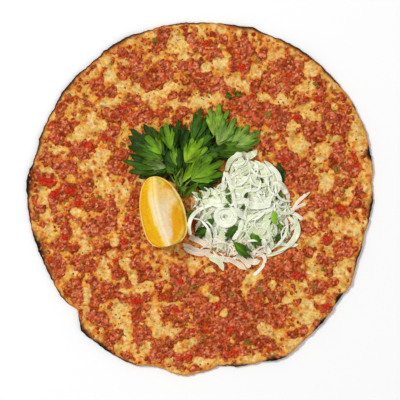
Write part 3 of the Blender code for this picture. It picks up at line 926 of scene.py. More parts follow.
def cut_face(along, radius, bow, edge, side):
    """A cut face from the core to its edge, with its distance from each."""
    face = np.linspace(0, 1, FACE_POINTS)[None, :]
    end_y, end_z = -radius * np.sin(edge), -radius * np.cos(edge)
    y, z = bow + (end_y - bow) * face, end_z * face
    length = np.hypot(end_y - bow, end_z)
    from_core, from_edge = face * length, (1 - face) * length
    bulge = FLESH_BULGE * ease(0.6, 4, from_core) * ease(1.7, 5, from_edge)
    sag = FLESH_SAG * ease(0.3, 1.6, from_core) * ease(0.8, 2.4, from_edge)
    u, v = 0.9 * along + 0 * face, from_core
    away, _, _ = grains(u + 0.35 * v + 1.2 * noise(u, v, 8, 611), v / 3.4, 1.5, 621)
    sacs = np.clip(1 - 1.7 * away**2, 0, 1) * ease(0.8, 3, from_core) * ease(1.6, 3, from_edge)
    out = bulge - sag + FLESH_SACS * sacs + 0.25 * rough(u, v, 7, 631, 2)
    out = out * np.clip(radius / 9, 0, 1)
    return y - side * out * math.cos(edge), z + side * out * math.sin(edge), from_core, from_edge


def flesh_colour(x, y, along, core, edge, is_left):
    """Both cut faces: juicy on the left, paler on the right, with a pale haze of painted sheen on both,
    pale at ridge and edge.
    """
    streak = noise(along * 2.4, core * 0.5, 2, 651)
    left = between((236, 186, 10), (236, 168, 8), ease(-0.5, 0.6, rough(along, core, 9, 661, 2)))
    left = tinted(left, (240, 200, 50), 0.4 * ease(0, 0.8, streak))
    # Painted sheen: a pale haze of light on the left face.
    left = tinted(left, (244, 216, 150), 0.75 * ease(0.1, 0.8, blobs(x, y, LEFT_SHEEN_HAZE)))
    right = between((240, 206, 84), (238, 184, 40), ease(-0.3, 0.5, rough(along, core, 5, 671, 2)))
    right = tinted(right, (238, 166, 14), ease(0.15, 0.7, blobs(x, y, ORANGE) + 0.1 * streak))
    # Painted sheen: a pale haze of light on the right face, whitest low down.
    sheen_haze = blobs(x + 1.5 * noise(x, y, 5, 681), y + noise(x, y, 4, 683), SHEEN_HAZE)
    right = tinted(right, (248, 206, 128), 0.9 * ease(0.06, 0.6, sheen_haze + 0.14 * streak))
    right = tinted(right, (244, 226, 196), 0.7 * ease(0.5, 0.95, sheen_haze + 0.1 * streak) * ease(4, -8, y))
    tone = np.where(is_left[..., None], left, right)
    grain = 0.05 * noise(along * 3.2, core * 0.4, 2, 653)[..., None]
    tone = tone * (1 + grain * ease(2, 5, core)[..., None])
    pith = core - np.where(is_left, 0.0, 1.3) + 0.5 * noise(along, core, 5, 685)
    ridge = between((246, 216, 120), (242, 228, 188), ease(8, -6, y))
    tone = mix(tone, ridge, 0.85 * ease(3.2, 0.4, pith + 0.5 * streak))
    tone = tinted(tone, (248, 222, 140), 0.85 * ease(1.9, 0.7, edge + 0.4 * noise(along, core, 5, 687)))
    return tinted(tone, (242, 190, 96), 0.85 * ease(0.7, 0.1, edge))


def make_lemon(ground, material):
    """A wedge: two wet cut faces from the pale core down to pith and rind, and the rind below."""
    turn = np.linspace(0, np.pi, LEMON_STATIONS)[:, None]
    low, high = -0.995 * LEMON_BLUNT, 0.997 * LEMON_TIP
    middle, reach_out = (low + high) / 2, (high - low) / 2
    along = middle - reach_out * np.cos(turn)
    tip = np.sqrt(np.clip(1 - (along / LEMON_TIP) ** 2, 0, 1))
    blunt = np.clip(1 - np.abs(along / LEMON_BLUNT) ** 3.2, 0, 1) ** 0.38
    radius = LEMON_RADIUS * np.where(along >= 0, tip, blunt)
    bow = LEMON_BOW * (1 - ((along - middle) / reach_out) ** 2)
    left, right = (math.radians(LEMON_ROLL + side * LEMON_HALF_CUT) for side in (-1, 1))
    faces = cut_face(along, radius, bow, left, -1), cut_face(along, radius, bow, right, 1)
    across, z, core, edge = (np.concatenate((a[:, ::-1], b[:, 1:]), 1) for a, b in zip(*faces))
    swing = np.linspace(left, right, RIND_POINTS + 2)[None, 1:-1]
    rind_x = along + 0 * swing
    pores, _, _ = grains(rind_x, 22 * swing, 1.5, 641)
    skin = radius * (1 - PORE_DEPTH * np.clip(1 - (pores / 0.3) ** 2, 0, 1) / LEMON_RADIUS)
    across = np.concatenate((across, -(skin * np.sin(swing))[:, ::-1]), 1)
    z = np.concatenate((z, -(skin * np.cos(swing))[:, ::-1]), 1)
    a = np.broadcast_to(along, across.shape)
    c, s = math.cos(LEMON_HEADING), math.sin(LEMON_HEADING)
    x, y = LEMON_X + a * c - across * s, LEMON_Y + a * s + across * c
    sections = np.stack((x, y, LEMON_FLOOR + LEMON_RADIUS + z), -1)
    sides = core.shape[1]
    is_left = np.broadcast_to(np.arange(sides) < FACE_POINTS, core.shape)
    flesh = flesh_colour(x[:, :sides], y[:, :sides], a[:, :sides], core, edge, is_left)
    peel = between((240, 182, 36), (232, 160, 28), ease(-0.5, 0.5, rough(rind_x, 22 * swing, 9, 691)))
    peel = tinted(peel, (206, 130, 20), 0.35 * ease(0.3, 0.1, pores))[:, ::-1]
    colours = np.concatenate((flesh, peel), 1).reshape(-1, 3)
    piece = make_mesh("lemon_fine", *loft(sections), colours, material, "lemon")
    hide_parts("lemon_wedge")
    ground.lay(x.ravel(), y.ravel(), sections[..., 2].ravel(), 1)


# ---------------------------------------------------------------- parsley


# Leaves from the lowest up: base x, y, tip x, y, width, height of base and tip, lobes, shade.
LEAVES = (
    (-22, 22, -44, 40, 18, 1, 1, 5, "deep"), (-20, 26, -34, 50, 16, 1, 1, 5, "dark"),
    (-16, 26, -22, 54, 16, 1, 1, 5, "dark"), (-12, 26, -6, 56, 16, 1, 1, 5, "deep"),
    (-8, 24, 12, 48, 18, 1, 1, 5, "dark"), (-6, 20, 18, 36, 16, 1, 1, 5, "dark"),
    (8, 36, 30, 50, 16, 1, 1, 5, "deep"), (-29, 25, -53, 18, 17, 2, 1, 5, "dark"),
    (-30, 26, -67, 31, 19, 4, 1, 5, "deep"), (-34, 36, -63, 53, 12, 5, 3, 3, "dark"),
    (-32, 34, -63, 44, 20, 4, 2, 5, "dark"), (-32, 36, -60, 60, 22, 5, 3, 5, "dark"),
    (-30, 37, -42, 63, 20, 5, 3, 5, "deep"), (-33, 37, -55, 50, 19, 8, 6, 5, "deep"),
    (-31, 33, -52, 40, 15, 8, 6, 5, "mid"), (-33, 38, -45, 55, 14, 9, 7, 3, "green"),
    # A pale grey-green leaf on top, a painted reflection: the sheen on the leaves below it.
    (-29, 27, -46, 32, 11, 9, 7, 3, "grey_sheen"),
    (-22, 42, -20, 69, 15, 4, 5, 5, "dark"), (-25, 42, -31, 65, 13, 6, 7, 3, "green"),
    (-14, 40, -12, 60, 11, 3, 2, 3, "dark"), (-6, 48, 1, 79, 14, 4, 3, 5, "deep"),
    (12, 54, 18, 82, 18, 4, 3, 5, "pale"), (5, 46, 8, 60, 9, 2, 1, 3, "dark"),
    (15, 46, 32, 69, 20, 4, 3, 5, "sheen"), (27, 45, 52, 58, 23, 4, 2, 5, "sheen"),
    (10, 41, 39, 43, 14, 5, 3, 5, "mid"), (4, 36, 22, 47, 12, 4, 4, 3, "dark"),
    (-8, 38, 8, 56, 13, 4, 5, 3, "mid"), (-20, 28, -25, 46, 8, 6, 8, 3, "green"),
    (-17, 25, -19, 44, 7, 5, 6, 3, "dark"), (-12, 22, -10, 40, 8, 5, 6, 3, "deep"),
    (-6, 35, 16, 37, 12, 7, 5, 3, "mid"), (-13, 31, 4, 51, 20, 8, 9, 5, "light"),
    (-3, 14, 20, 19, 13, 3, 2, 5, "dark"), (-2, 12, 12, 7, 8, 3, 2, 3, "deep"),
    (-15, 14, -1, 36, 9, 6, 9, 3, "light"), (-8, 16, 19, 34, 22, 7, 7, 5, "green"),
    (-1, 15, -13, 1, 7, 5, 3, 3, "mid"), (-12, 11, -19, 4, 7, 4, 2, 3, "mid"),
)

# Stems: x, y, height at the leaf, in the middle and at the cut end.
STEMS = (
    (-30, 33, 5, -25, 20, 3, -14, 4, 1.5), (-30, 27, 4, -24, 18, 2, -15, 3, 1),
    (-22, 42, 4, -21, 24, 4, -16, 3, 2.5), (-25, 42, 6, -23, 24, 5, -13, 3, 3),
    (-13, 31, 8, -19, 21, 7, -22, 13, 6), (-6, 48, 4, -14, 30, 5, -17, 6, 3.5),
    (-8, 38, 4, -14, 26, 6, -17, 5, 4.5), (-14, 40, 3, -16, 24, 3.5, -14, 4, 3),
    (12, 54, 4, -3, 36, 5, -13, 14, 3), (10, 41, 5, -4, 26, 5, -14, 8, 3),
    (-8, 16, 7, -13, 11, 6, -16, 5, 5), (-15, 14, 6, -17, 9, 5, -18, 4, 4),
    (15, 46, 4, 4, 34, 4, -10, 18, 4), (27, 45, 4, 12, 36, 3, -6, 20, 3),
    (-20, 38, 5, -19, 22, 4, -12, 0, 2), (-26, 34, 5, -22, 20, 4, -16, 6, 3),
    (-10, 30, 7, -14, 18, 6, -17, 8, 4), (-17, 34, 5, -17, 20, 5, -15, 6, 4),
)

SHADES = {  # the blade's colour, its tips, its veins
    # shade: near-black green, painted shadow deep in the bunch.
    "shade": ((28, 50, 6), (22, 42, 4), (60, 84, 24)),
    "dark": ((44, 78, 8), (32, 60, 5), (84, 114, 30)),
    "deep": ((60, 98, 8), (42, 76, 6), (100, 134, 40)),
    "mid": ((82, 124, 12), (56, 94, 8), (126, 158, 50)),
    "green": ((108, 150, 24), (78, 122, 14), (152, 180, 70)),
    "light": ((132, 170, 24), (98, 142, 16), (172, 196, 76)),
    "pale": ((138, 168, 52), (98, 138, 28), (168, 192, 96)),
    "sheen": ((136, 166, 74), (84, 126, 26), (170, 190, 110)),
    # grey: a painted reflection, sheen on a leaf's upper side.
    "grey_sheen": ((118, 140, 78), (80, 108, 44), (150, 168, 106)),
}
LEAF_THICKNESS = 0.35
TOOTH_WIDTH, TOOTH_DEPTH = 2.8, 0.65
HIDDEN_LEAVES, CHOPPED_BITS = 34, 13
STEM_WIDTHS, STEM_POINTS = (0.9, 1.5), 24
BLADE_ROWS = 15  # worked out from base to tip; a blade keeps some of them above and below
FINE_ROWS = ([0, 3, 6, 8, 10, 12, 13, 14], [14, 12, 8, 3, 0])
PLAIN_ROWS = ([0, 5, 10, 14], [14, 7, 0])
PARSLEY_X, PARSLEY_Y = -14, 18
CHOPPED = ((24, 89), (34, 90))
STEM_LIFT = 1.5


def add_leaf(pile, ground, base, tip, width, rises, lobes, shade, seed, on_top=False, plain=False):
    """A leaf: one blade, or where it has five lobes three blades that spread from its base."""
    if lobes < 5:
        add_blade(pile, ground, base, tip, width, rises, lobes, shade, seed, on_top, plain)
        return
    dx, dy = tip[0] - base[0], tip[1] - base[1]
    luck = np.random.default_rng(seed + 1)
    spread = math.atan2(0.5 * width, math.hypot(dx, dy))
    for k, (turn, size, back) in enumerate(((-1, 0.9, 0.0), (1, 0.86, 0.0), (0, 1.0, 0.1))):
        angle = spread * turn * luck.uniform(0.85, 1.15)
        c, s = math.cos(angle) * size, math.sin(angle) * size
        start = (base[0] + back * dx, base[1] + back * dy)
        end = (base[0] + dx * c - dy * s, base[1] + dx * s + dy * c)
        lift = (rises[0] + 0.3 * k, rises[1] + luck.uniform(-1.2, 1.2))
        add_blade(pile, ground, start, end, 0.56 * width, lift, 3, shade, seed + 13 * k, on_top, plain)


def add_blade(pile, ground, base, tip, width, rises, lobes, shade, seed, on_top, plain=False):
    """A lobed and toothed blade with sunk veins, resting on what lies below it."""
    luck = np.random.default_rng(seed)
    per_lobe = 16 if lobes > 1 else 32
    across = per_lobe * lobes + 1
    length = math.dist(base, tip)
    half = min(1.3, 1.6 * math.asin(min(0.95, width / (1.85 * length))))
    lobe_width = 1.6 * half * length / lobes
    teeth = int(np.clip(round(lobe_width / TOOTH_WIDTH), 2, 3))
    t = np.linspace(-1, 1, across)[:, None]
    r = np.linspace(0.02, 1, BLADE_ROWS)[None, :]
    phase = np.arange(across)[:, None] / per_lobe
    lobe = np.clip(np.floor(phase), 0, lobes - 1).astype(int)
    s = 2 * (phase - lobe) - 1
    deep = np.minimum(luck.uniform(0.6, 1.2, lobes + 1) * lobe_width, 0.42 * length) / length
    depth = np.where(s < 0, deep[lobe], deep[lobe + 1])
    notch = np.abs(((phase - lobe) * teeth) % 1 * 2 - 1)
    size = luck.uniform(0.88, 1.04, lobes)
    rounded = np.cos(t * 0.8) ** 0.5 / (1 + 0.75 * np.abs(t))
    jagged = rounded * size[lobe] * (1 - depth * np.abs(s) ** 4 - 0.3 * depth * s**2)
    jagged = jagged - TOOTH_DEPTH * lobe_width / teeth / length * notch**0.9
    rho = r * (0.86 * rounded * (1 - r**3) + jagged * r**3)
    fan = t * half * (1 + 0.25 * (1 - r))
    u, v = rho * np.cos(fan), rho * np.sin(fan)
    u, v = u / u.max() * length, v / np.abs(v).max() * width / 2
    v = v + 0.08 * length * math.sin(seed) * (u / length) ** 2
    heading = math.atan2(tip[1] - base[1], tip[0] - base[0])
    c, sn = math.cos(heading), math.sin(heading)
    x, y = base[0] + u * c - v * sn, base[1] + u * sn + v * c
    level = ground.smoothed(2)
    bed = level if on_top else ground.bare
    low, high = bed[ground.cell(*base)] + rises[0], bed[ground.cell(*tip)] + rises[1]
    share = u / length
    z = low + (high - low) * share + 0.07 * length * np.sin(np.pi * np.clip(share, 0, 1))
    z = z + 0.05 * width * np.abs(s) ** 1.5 * r + 0.12 * width * noise(x, y, 6, seed + 3) * r
    z = z - 0.05 * width * (np.abs(v) / (width / 2)) ** 2 - 0.06 * length * ease(0.7, 1.05, share)
    z = np.maximum(z, level[ground.cell(x, y)] + 0.4) + 0.14 * noise(x, y, 1.8, seed + 4) * r
    rows = PLAIN_ROWS if plain else FINE_ROWS
    columns = slice(None, None, 2 if plain else 1)
    leaf = np.stack((x, y, z), -1)[columns]
    sections = np.concatenate((leaf[:, rows[0]], leaf[:, rows[1]] - (0, 0, LEAF_THICKNESS)), 1)
    tone = blade_colour(x, y, t, s, r, shade, seed, luck)[columns]
    colours = np.concatenate((tone[:, rows[0]], tone[:, rows[1]]), 1)
    pile.add(*loft(sections), colours.reshape(-1, 3))
    ground.lay(x.ravel(), y.ravel(), z.ravel(), 1)


def blade_colour(x, y, t, s, r, shade, seed, luck):
    """Darker to the tips, painted lighter on one half and darker on the other as light falls on a leaf
    folded at its rib, with a pale rib and branches in each lobe.
    """
    blade, tips, vein = SHADES[shade]
    tone = between(blade, tips, ease(0.3, 1.0, r + 0.5 * noise(x, y, 4, seed)))
    # Painted light and shade: one half of the blade lighter, the other darker, as on a leaf folded along
    # its rib; with random tone.
    fold_light_and_tone = 0.22 * np.tanh(3 * t) * luck.choice((-1, 1)) + 0.3 * noise(x, y, 4.5, seed + 5)
    tone = tone * (1 + fold_light_and_tone + 0.16 * noise(x, y, 1.5, seed + 6))[..., None]
    rib = ease(0.07, 0.02, np.abs(s) * r) * ease(1.0, 0.7, r)
    branch = np.abs(np.abs(s) - 1.1 * (r - 0.42)) * r
    branch = 0.5 * ease(0.06, 0.02, branch) * ease(0.42, 0.5, r) * ease(0.98, 0.8, r)
    return tinted(tone, vein, 0.4 * np.maximum(rib, branch))


def curve_through(first, second, third, count):
    """Points on the smooth curve that passes three points."""
    t = np.linspace(0, 1, count)[:, None]
    first, second, third = (np.asarray(p, float) for p in (first, second, third))
    return first * (1 - t) * (1 - 2 * t) + second * 4 * t * (1 - t) + third * t * (2 * t - 1)


def sweep(path, width, thickness, roll, count=10, ring=False, power=0.7):
    """Sections of a band along a path. width, thickness and roll may change along it."""
    ahead = np.gradient(path, axis=0)
    if ring:
        ahead = np.roll(path, -1, 0) - np.roll(path, 1, 0)
    ahead = ahead / np.linalg.norm(ahead, axis=1)[:, None]
    side = np.cross(ahead, (0, 0, 1.0))
    side = side / np.linalg.norm(side, axis=1)[:, None]
    up = np.cross(side, ahead)
    roll = np.broadcast_to(roll, len(path))[:, None]
    side, up = side * np.cos(roll) + up * np.sin(roll), up * np.cos(roll) - side * np.sin(roll)
    turn = 2 * np.pi * (np.arange(count) + 0.5) / count
    a = np.sign(np.cos(turn)) * np.abs(np.cos(turn)) ** power
    b = np.sign(np.sin(turn)) * np.abs(np.sin(turn)) ** power
    width = np.broadcast_to(width, len(path))[:, None, None] / 2
    thickness = np.broadcast_to(thickness, len(path))[:, None, None] / 2
    offset = side[:, None] * a[None, :, None] * width + up[:, None] * b[None, :, None] * thickness
    return path[:, None] + offset, a


def add_hidden_leaves(pile, ground, luck):
    """Dark leaves that fill the bunch below the ones that show, half of them near black as painted shadow
    in the gaps.
    """
    outline = edge_of("parsley_bunch", PARSLEY_X, PARSLEY_Y)
    for k in range(HIDDEN_LEAVES):
        angle, far = math.radians(luck.uniform(-35, 190)), luck.uniform(0.45, 0.93)
        limit = outline[int(math.degrees(angle) * 2) % 720]
        near = max(far * limit - luck.uniform(16, 24), 1)
        aim = angle + luck.normal(0, 0.16)
        base = (PARSLEY_X + near * math.cos(angle), PARSLEY_Y + near * math.sin(angle))
        tip = (PARSLEY_X + far * limit * math.cos(aim), PARSLEY_Y + far * limit * math.sin(aim))
        if math.dist(base, tip) > 8:
            shade = ("shade", "dark", "shade", "deep")[k % 4]
            width = luck.uniform(11, 16)
            add_leaf(pile, ground, base, tip, width, (1, 0.6), 5, shade, 2000 + 40 * k, plain=True)


def add_stem(pile, ground, row, seed):
    """A round stem, thicker to its cut end."""
    x, y, rise = np.reshape(row, (3, 3)).T
    z = ground.bare[ground.cell(x, y)] + STEM_LIFT + rise
    path = curve_through(*np.column_stack((x, y, z)), STEM_POINTS)
    fat = np.linspace(*STEM_WIDTHS, STEM_POINTS)
    sections, _ = sweep(path, fat, 0.85 * fat, 0.0, 10, power=1.0)
    tone = between((84, 118, 24), (132, 162, 62), ease(-0.5, 0.5, noise(path[:, 0], path[:, 1], 6, seed)))
    pile.add(*loft(sections), np.repeat(tone, sections.shape[1], 0))
    ground.lay(*sections.reshape(-1, 3).T)


def make_parsley(ground, material):
    """The bunch, and two pinches of chopped leaf on the meat."""
    pile = Pile()
    luck = np.random.default_rng(31)
    add_hidden_leaves(pile, ground, luck)
    for k, row in enumerate(STEMS):
        add_stem(pile, ground, row, 700 + k)
    for k, (x0, y0, x1, y1, width, low, high, lobes, shade) in enumerate(LEAVES):
        add_leaf(pile, ground, (x0, y0), (x1, y1), width, (low, high), lobes, shade, 720 + 7 * k)
    for k in range(CHOPPED_BITS):
        x, y = CHOPPED[k % 2]
        x, y = x + luck.normal(0, 2.6), y + luck.normal(0, 1.3)
        tip = (x + luck.uniform(-3, 3), y + luck.uniform(-2.4, 2.4))
        shade = ("mid", "dark", "deep")[k % 3]
        add_blade(pile, ground, (x, y), tip, 2.2, (0.3, 0.4), 1, shade, 3500 + k, True)
    piece = pile.piece("parsley_leaves", material, "parsley")
    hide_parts("parsley_bunch")


# ---------------------------------------------------------------- onion


# Slices that lie on top, from the lowest up: three points of the slice, its width, tint.
SLICES = (
    (-15, -38, -5, -44, 9, -46, 6.5, "pink"), (-9, -32, 1, -37, 8, -41, 6, "pink"),
    (-14, -42, -4, -47, 6, -47, 4, "pink"), (4, -46, 12, -50, 24, -52, 5, "pink"),
    (8, -51, 16, -54, 20, -62, 6, "clear"), (21, -50, 31, -55, 40, -61, 5.5, "pink"),
    (27, -42, 36, -50, 43, -59, 6, "pink"), (39, -51, 45, -54, 52, -53, 6, "pink"),
    (47, -45, 56, -53, 46, -66, 3.4, "white"), (57, -48, 67, -46, 77, -39, 4, "clear"),
    (69, -38, 77, -40, 85, -39, 3.6, "white"), (79, -13, 84, -3, 95, 6, 3.4, "pink"),
    (77, -10, 84, -7, 91, -4, 3.2, "pink"), (75, -15, 83, -26, 74, -41, 3.6, "white"),
    (80, -14, 84, -32, 66, -46, 3.2, "clear"), (73, -18, 74, -29, 64, -42, 3.2, "white"),
    (83, -15, 82, -21, 78, -28, 3, "clear"), (67, -13, 79, -12, 88, -18, 4, "white"),
    (-7, 6, 1, 1, 8, -6, 5, "clear"), (-1, 2, 9, -1, 26, -3, 4.5, "clear"),
    (8, 9, 13, 4, 18, -3, 4, "white"), (3, 4, 10, 5, 19, 8, 4, "clear"),
    (8, -25, 7, -34, 10, -43, 5, "clear"), (18, -27, 19, -36, 14, -46, 6, "clear"),
    (12, -24, 13, -34, 11, -42, 4, "white"), (55, 33, 64, 22, 64, 8, 6, "clear"),
    (47, 33, 55, 22, 56, 8, 6, "clear"), (60, 28, 68, 17, 64, 2, 5, "white"),
    (51, 31, 61, 18, 59, 0, 4, "white"), (67, 15, 74, 8, 76, -2, 4, "pink"),
    (62, 14, 70, 10, 74, 4, 5, "white"), (40, 16, 48, 13, 56, 12, 4, "clear"),
    (28, 9, 40, 6, 55, 8, 5.5, "clear"), (36, 2, 44, 8, 54, 4, 4, "white"),
    (45, 2, 53, -2, 64, 2, 6, "white"), (38, -2, 48, -6, 60, -4, 7, "white"),
    (40, -22, 35, -30, 31, -37, 4.5, "clear"), (46, -22, 41, -31, 34, -38, 5, "clear"),
    (55, -34, 56, -41, 61, -47, 6, "white"), (50, -30, 55, -25, 58, -17, 7, "clear"),
    (62, -22, 59, -31, 64, -40, 5, "clear"), (-8, -31, -6, -14, 13, -4, 4, "white"),
    (-4, -28, 2, -17, 12, -10, 4, "clear"), (8, -2, 18, -6, 30, -4, 4, "white"),
    (55, -12, 63, -7, 73, 0, 5, "white"), (40, 34, 44, 38, 49, 42, 7.5, "clear"),
    (21, 24, 20, 13, 20, 2, 3.4, "white"), (22, 23, 27, 9, 31, -10, 4, "white"),
    (36, -17, 34, -26, 28, -35, 4.6, "white"), (30, -8, 42, -16, 56, -11, 6.5, "white"),
)

# Broad cupped pieces lower in the heap: three points, width, tint.
BROAD = (
    (24, 27, 28, 34, 35, 38, 8, "clear"), (31, 24, 35, 33, 44, 38, 8, "white"),
    (29, 35, 36, 39, 43, 35, 7, "clear"), (33, 40, 37, 31, 46, 27, 7, "white"),
    (23, 24, 27, 34, 36, 38, 6, "clear"), (27, 22, 31, 30, 40, 32, 6, "clear"),
    (35, 20, 43, 17, 50, 24, 7, "white"), (36, 30, 44, 31, 50, 24, 6, "white"),
    (26, 16, 34, 8, 44, 12, 8, "clear"), (50, 30, 58, 24, 60, 14, 8, "clear"),
    (44, -22, 54, -32, 64, -26, 8, "clear"), (14, -8, 24, -4, 34, -8, 8, "clear"),
    (54, -20, 62, -12, 70, -14, 7, "clear"), (2, -10, 8, -18, 8, -28, 8, "clear"),
    (26, -28, 34, -36, 44, -34, 8, "clear"), (20, 2, 30, -2, 42, 0, 8, "white"),
)

# Parsley among the onion, the lower leaves first: base x, y, tip x, y, width, lobes, shade.
GREENS = (
    (72, 14, 61, 31, 13, 5, "dark"), (9, -24, -5, -33, 9, 5, "deep"), (12, -17, 4, -24, 7, 3, "deep"),
    (-6, -9, -10, -20, 8, 3, "mid"), (24, 9, 24, -1, 4, 1, "mid"), (38, -5, 36, -9, 4, 1, "dark"),
    (52, 18, 54, 14, 4, 3, "dark"), (72, 1, 62, 5, 8, 3, "mid"), (64, -2, 60, 0, 5, 3, "light"),
    (32, -23, 22, -36, 10, 5, "deep"), (43, -30, 54, -41, 9, 5, "mid"), (76, -29, 62, -37, 7, 5, "deep"),
    (67, -20, 71, -28, 5, 3, "mid"), (1, -38, 6, -40, 5, 3, "mid"), (47, -14, 52, -15, 4, 3, "dark"),
    (23, 3, 27, -4, 4, 3, "mid"), (28, -36, 44, -52, 9, 5, "mid"), (20, -7, 25, -5, 3, 1, "mid"),
    (41, 6, 38, 1, 3, 1, "dark"), (-2, 5, 2, 0, 4, 3, "mid"),
)
ONION_TINTS = {  # the middle of a slice, and its edges
    "white": ((238, 242, 214), (252, 253, 238)),
    "clear": ((214, 224, 178), (246, 249, 222)),
    "pink": ((234, 214, 186), (248, 238, 218)),
}
ONION_X, ONION_Y = 35.5, -12
LOWER_GREENS = 15
LOWER_SLICES, THIN_SLICES = 330, 110
HEAP_SHARE = 0.84  # of the way to the outline that the mound below the slices takes
MOUND_RINGS, MOUND_AROUND = 30, 120
PATH_POINTS = 30
PEAK_X, PEAK_Y = 30, -2
RINGS_X, RINGS_Y = 22, -15
RINGS = ((3.2, 2.2), (5.9, 3.0), (8.7, 3.1))  # radius and width
RINGS_SQUASH, RINGS_THICKNESS, RINGS_CLEAR = 0.94, 1.1, 14
BUD_WIDTH, BUD_THICKNESS = 5.2, 2.6
BUD = ((64.5, -11, 0), (63.5, -16, 0), (64.5, -21.5, 0))


def onion_share(x, y, edge):
    """0 in the middle of the heap, 1 on its outline."""
    degrees = np.degrees(np.arctan2(y - ONION_Y, x - ONION_X)) % 360
    return np.hypot(x - ONION_X, y - ONION_Y) / reach(edge, degrees)


def onion_place(angle, share, edge):
    """A place in the heap by its direction and its share of the way to the outline."""
    far = share * reach(edge, np.degrees(angle))
    return ONION_X + far * np.cos(angle), ONION_Y + far * np.sin(angle)


def bedded(path, side, flat, ground):
    """Heights along a slice that bridges the gaps below it."""
    beds = np.stack([ground.at(*(path + side * (k * flat)[:, None]).T) for k in (-0.8, -0.3, 0.3, 0.8)])
    bed = 0.3 * beds.max(0) + 0.7 * beds.mean(0)
    z = bed
    for _ in range(6):
        z = np.maximum(z, np.maximum(np.append(z[1:], z[-1]), np.append(z[0], z[:-1])) - 0.5)
    kernel = np.array((1, 2, 3, 4, 3, 2, 1)) / 16
    z = np.convolve(np.pad(z, 3, "edge"), kernel, "valid")
    return np.convolve(np.pad(np.maximum(z, bed - 0.6), 3, "edge"), kernel, "valid")


def slice_colour(path, t, a, tint, seed):
    """Paler to its edges, with veins along it."""
    patchy = 0.3 * noise(path[:, 0], path[:, 1], 5, seed)[:, None]
    tone = between(*ONION_TINTS[tint], np.clip(ease(0.5, 0.95, np.abs(a))[None, :] + patchy, 0, 1))
    vein = noise(6 * a[None, :] + 0 * patchy, 12 * t[:, None] + 0 * a[None, :], 2, seed + 1)
    return tone * (1 + 0.1 * vein[..., None])


def lay_slice(pile, ground, points, width, thickness, roll, tint, seed, ring=False, steps=30, around=12):
    """A slice of onion laid along a path, or round a ring."""
    path = points if ring else curve_through(*points, PATH_POINTS)
    count = len(path)
    luck = np.random.default_rng(seed)
    t = np.linspace(0, 1, count)
    first, last = luck.uniform(0.05, 0.3, 2)
    taper = np.minimum(ease(-0.1, first, t), ease(1.1, 1 - last, t)) if not ring else np.ones(count)
    w = width * taper * (1 + 0.1 * np.sin(2 * np.pi * (1.3 * t + luck.random())))
    heading = np.gradient(path, axis=0)
    heading = heading / np.linalg.norm(heading, axis=1)[:, None]
    side = np.stack((-heading[:, 1], heading[:, 0]), -1)
    flat = abs(math.cos(roll)) * w / 2
    tilted = 0.8 * abs(math.sin(roll)) * width
    rise = 0.5 * (tilted + abs(math.cos(roll)) * thickness)
    line = np.column_stack((path, bedded(path, side, flat, ground) + rise))
    kept = np.arange(count) if ring else np.round(np.linspace(0, count - 1, steps)).astype(int)
    thick = thickness * (0.75 + 0.25 * taper[kept])
    sections, a = sweep(line[kept], w[kept], thick, roll, around, ring, 0.4)
    pile.add(*loft(sections, ring), slice_colour(path[kept], t[kept], a, tint, seed).reshape(-1, 3))
    where = np.linspace(0, count - 1, 3 * count)
    columns = (*line.T, *side.T, flat)
    x, y, z, sx, sy, half = (np.interp(where, np.arange(count), column) for column in columns)
    for k in np.linspace(-1, 1, 2 * max(2, int(width / 1.2)) + 1):
        ground.lay(x + k * half * sx, y + k * half * sy, z + (tilted + thickness) / 2)


def add_mound(pile, ground, edge, height):
    """A closed mound under the slices, as high as the given height field."""
    angle = 2 * np.pi * np.arange(MOUND_AROUND) / MOUND_AROUND
    share = (HEAP_SHARE * (np.arange(MOUND_RINGS) + 0.5) / MOUND_RINGS)[::-1, None]
    x, y = onion_place(angle, share, edge)
    cells = ground.cell(x, y)
    top = np.stack((x, y, height[cells]), -1)
    base = np.stack((x, y, ground.bare[cells] - 1), -1)[:1]
    points, faces = loft(np.concatenate((base, top)))
    streak = rough(points[:, 0], 1.6 * points[:, 1], 3, 801)
    pile.add(points, faces, between((220, 228, 186), (242, 246, 220), ease(-0.5, 0.5, streak)))


def smooth(field, times):
    """The field blurred over its neighbours."""
    for _ in range(times):
        padded = np.pad(field, 1, "edge")
        across = padded[:, :-2] + 2 * padded[:, 1:-1] + padded[:, 2:]
        field = (across[:-2] + 2 * across[1:-1] + across[2:]) / 16
    return field


def bent(x, y, heading, length, bend):
    """The two ends and the middle of a slice bent about a place."""
    hx, hy = math.cos(heading) * length / 2, math.sin(heading) * length / 2
    return (x - hx, y - hy), (x - hy * bend * 2, y + hx * bend * 2), (x + hx, y + hy)


def furthest(ends, edge):
    """How near to the heap's outline a slice comes."""
    return np.max(onion_share(*np.transpose(ends), edge))


def add_lower_slices(pile, ground, edge):
    """Slices strewn over the mound, most of them along its outline."""
    luck = np.random.default_rng(11)
    for k in range(LOWER_SLICES):
        angle, share = 2 * np.pi * luck.random(), math.sqrt(luck.random()) * (0.92 if k < 140 else 0.8)
        heading = angle + math.pi / 2 + luck.normal(0, 0.7)
        length, bend = luck.uniform(14, 30), luck.uniform(0.12, 0.34) * luck.choice((-1, 1))
        ends = bent(*onion_place(angle, share, edge), heading, length, bend)
        if furthest(ends, edge) > 0.95:
            continue
        roll = luck.normal(0, 0.22) if luck.random() < 0.88 else luck.uniform(0.5, 0.9)
        tint = ("white", "clear", "clear", "pink")[luck.integers(4) if share > 0.55 else luck.integers(3)]
        width, thickness = luck.uniform(1.5, 3.0), luck.uniform(0.3, 0.5)
        lay_slice(pile, ground, ends, width, thickness, roll, tint, 900 + k, steps=15, around=8)


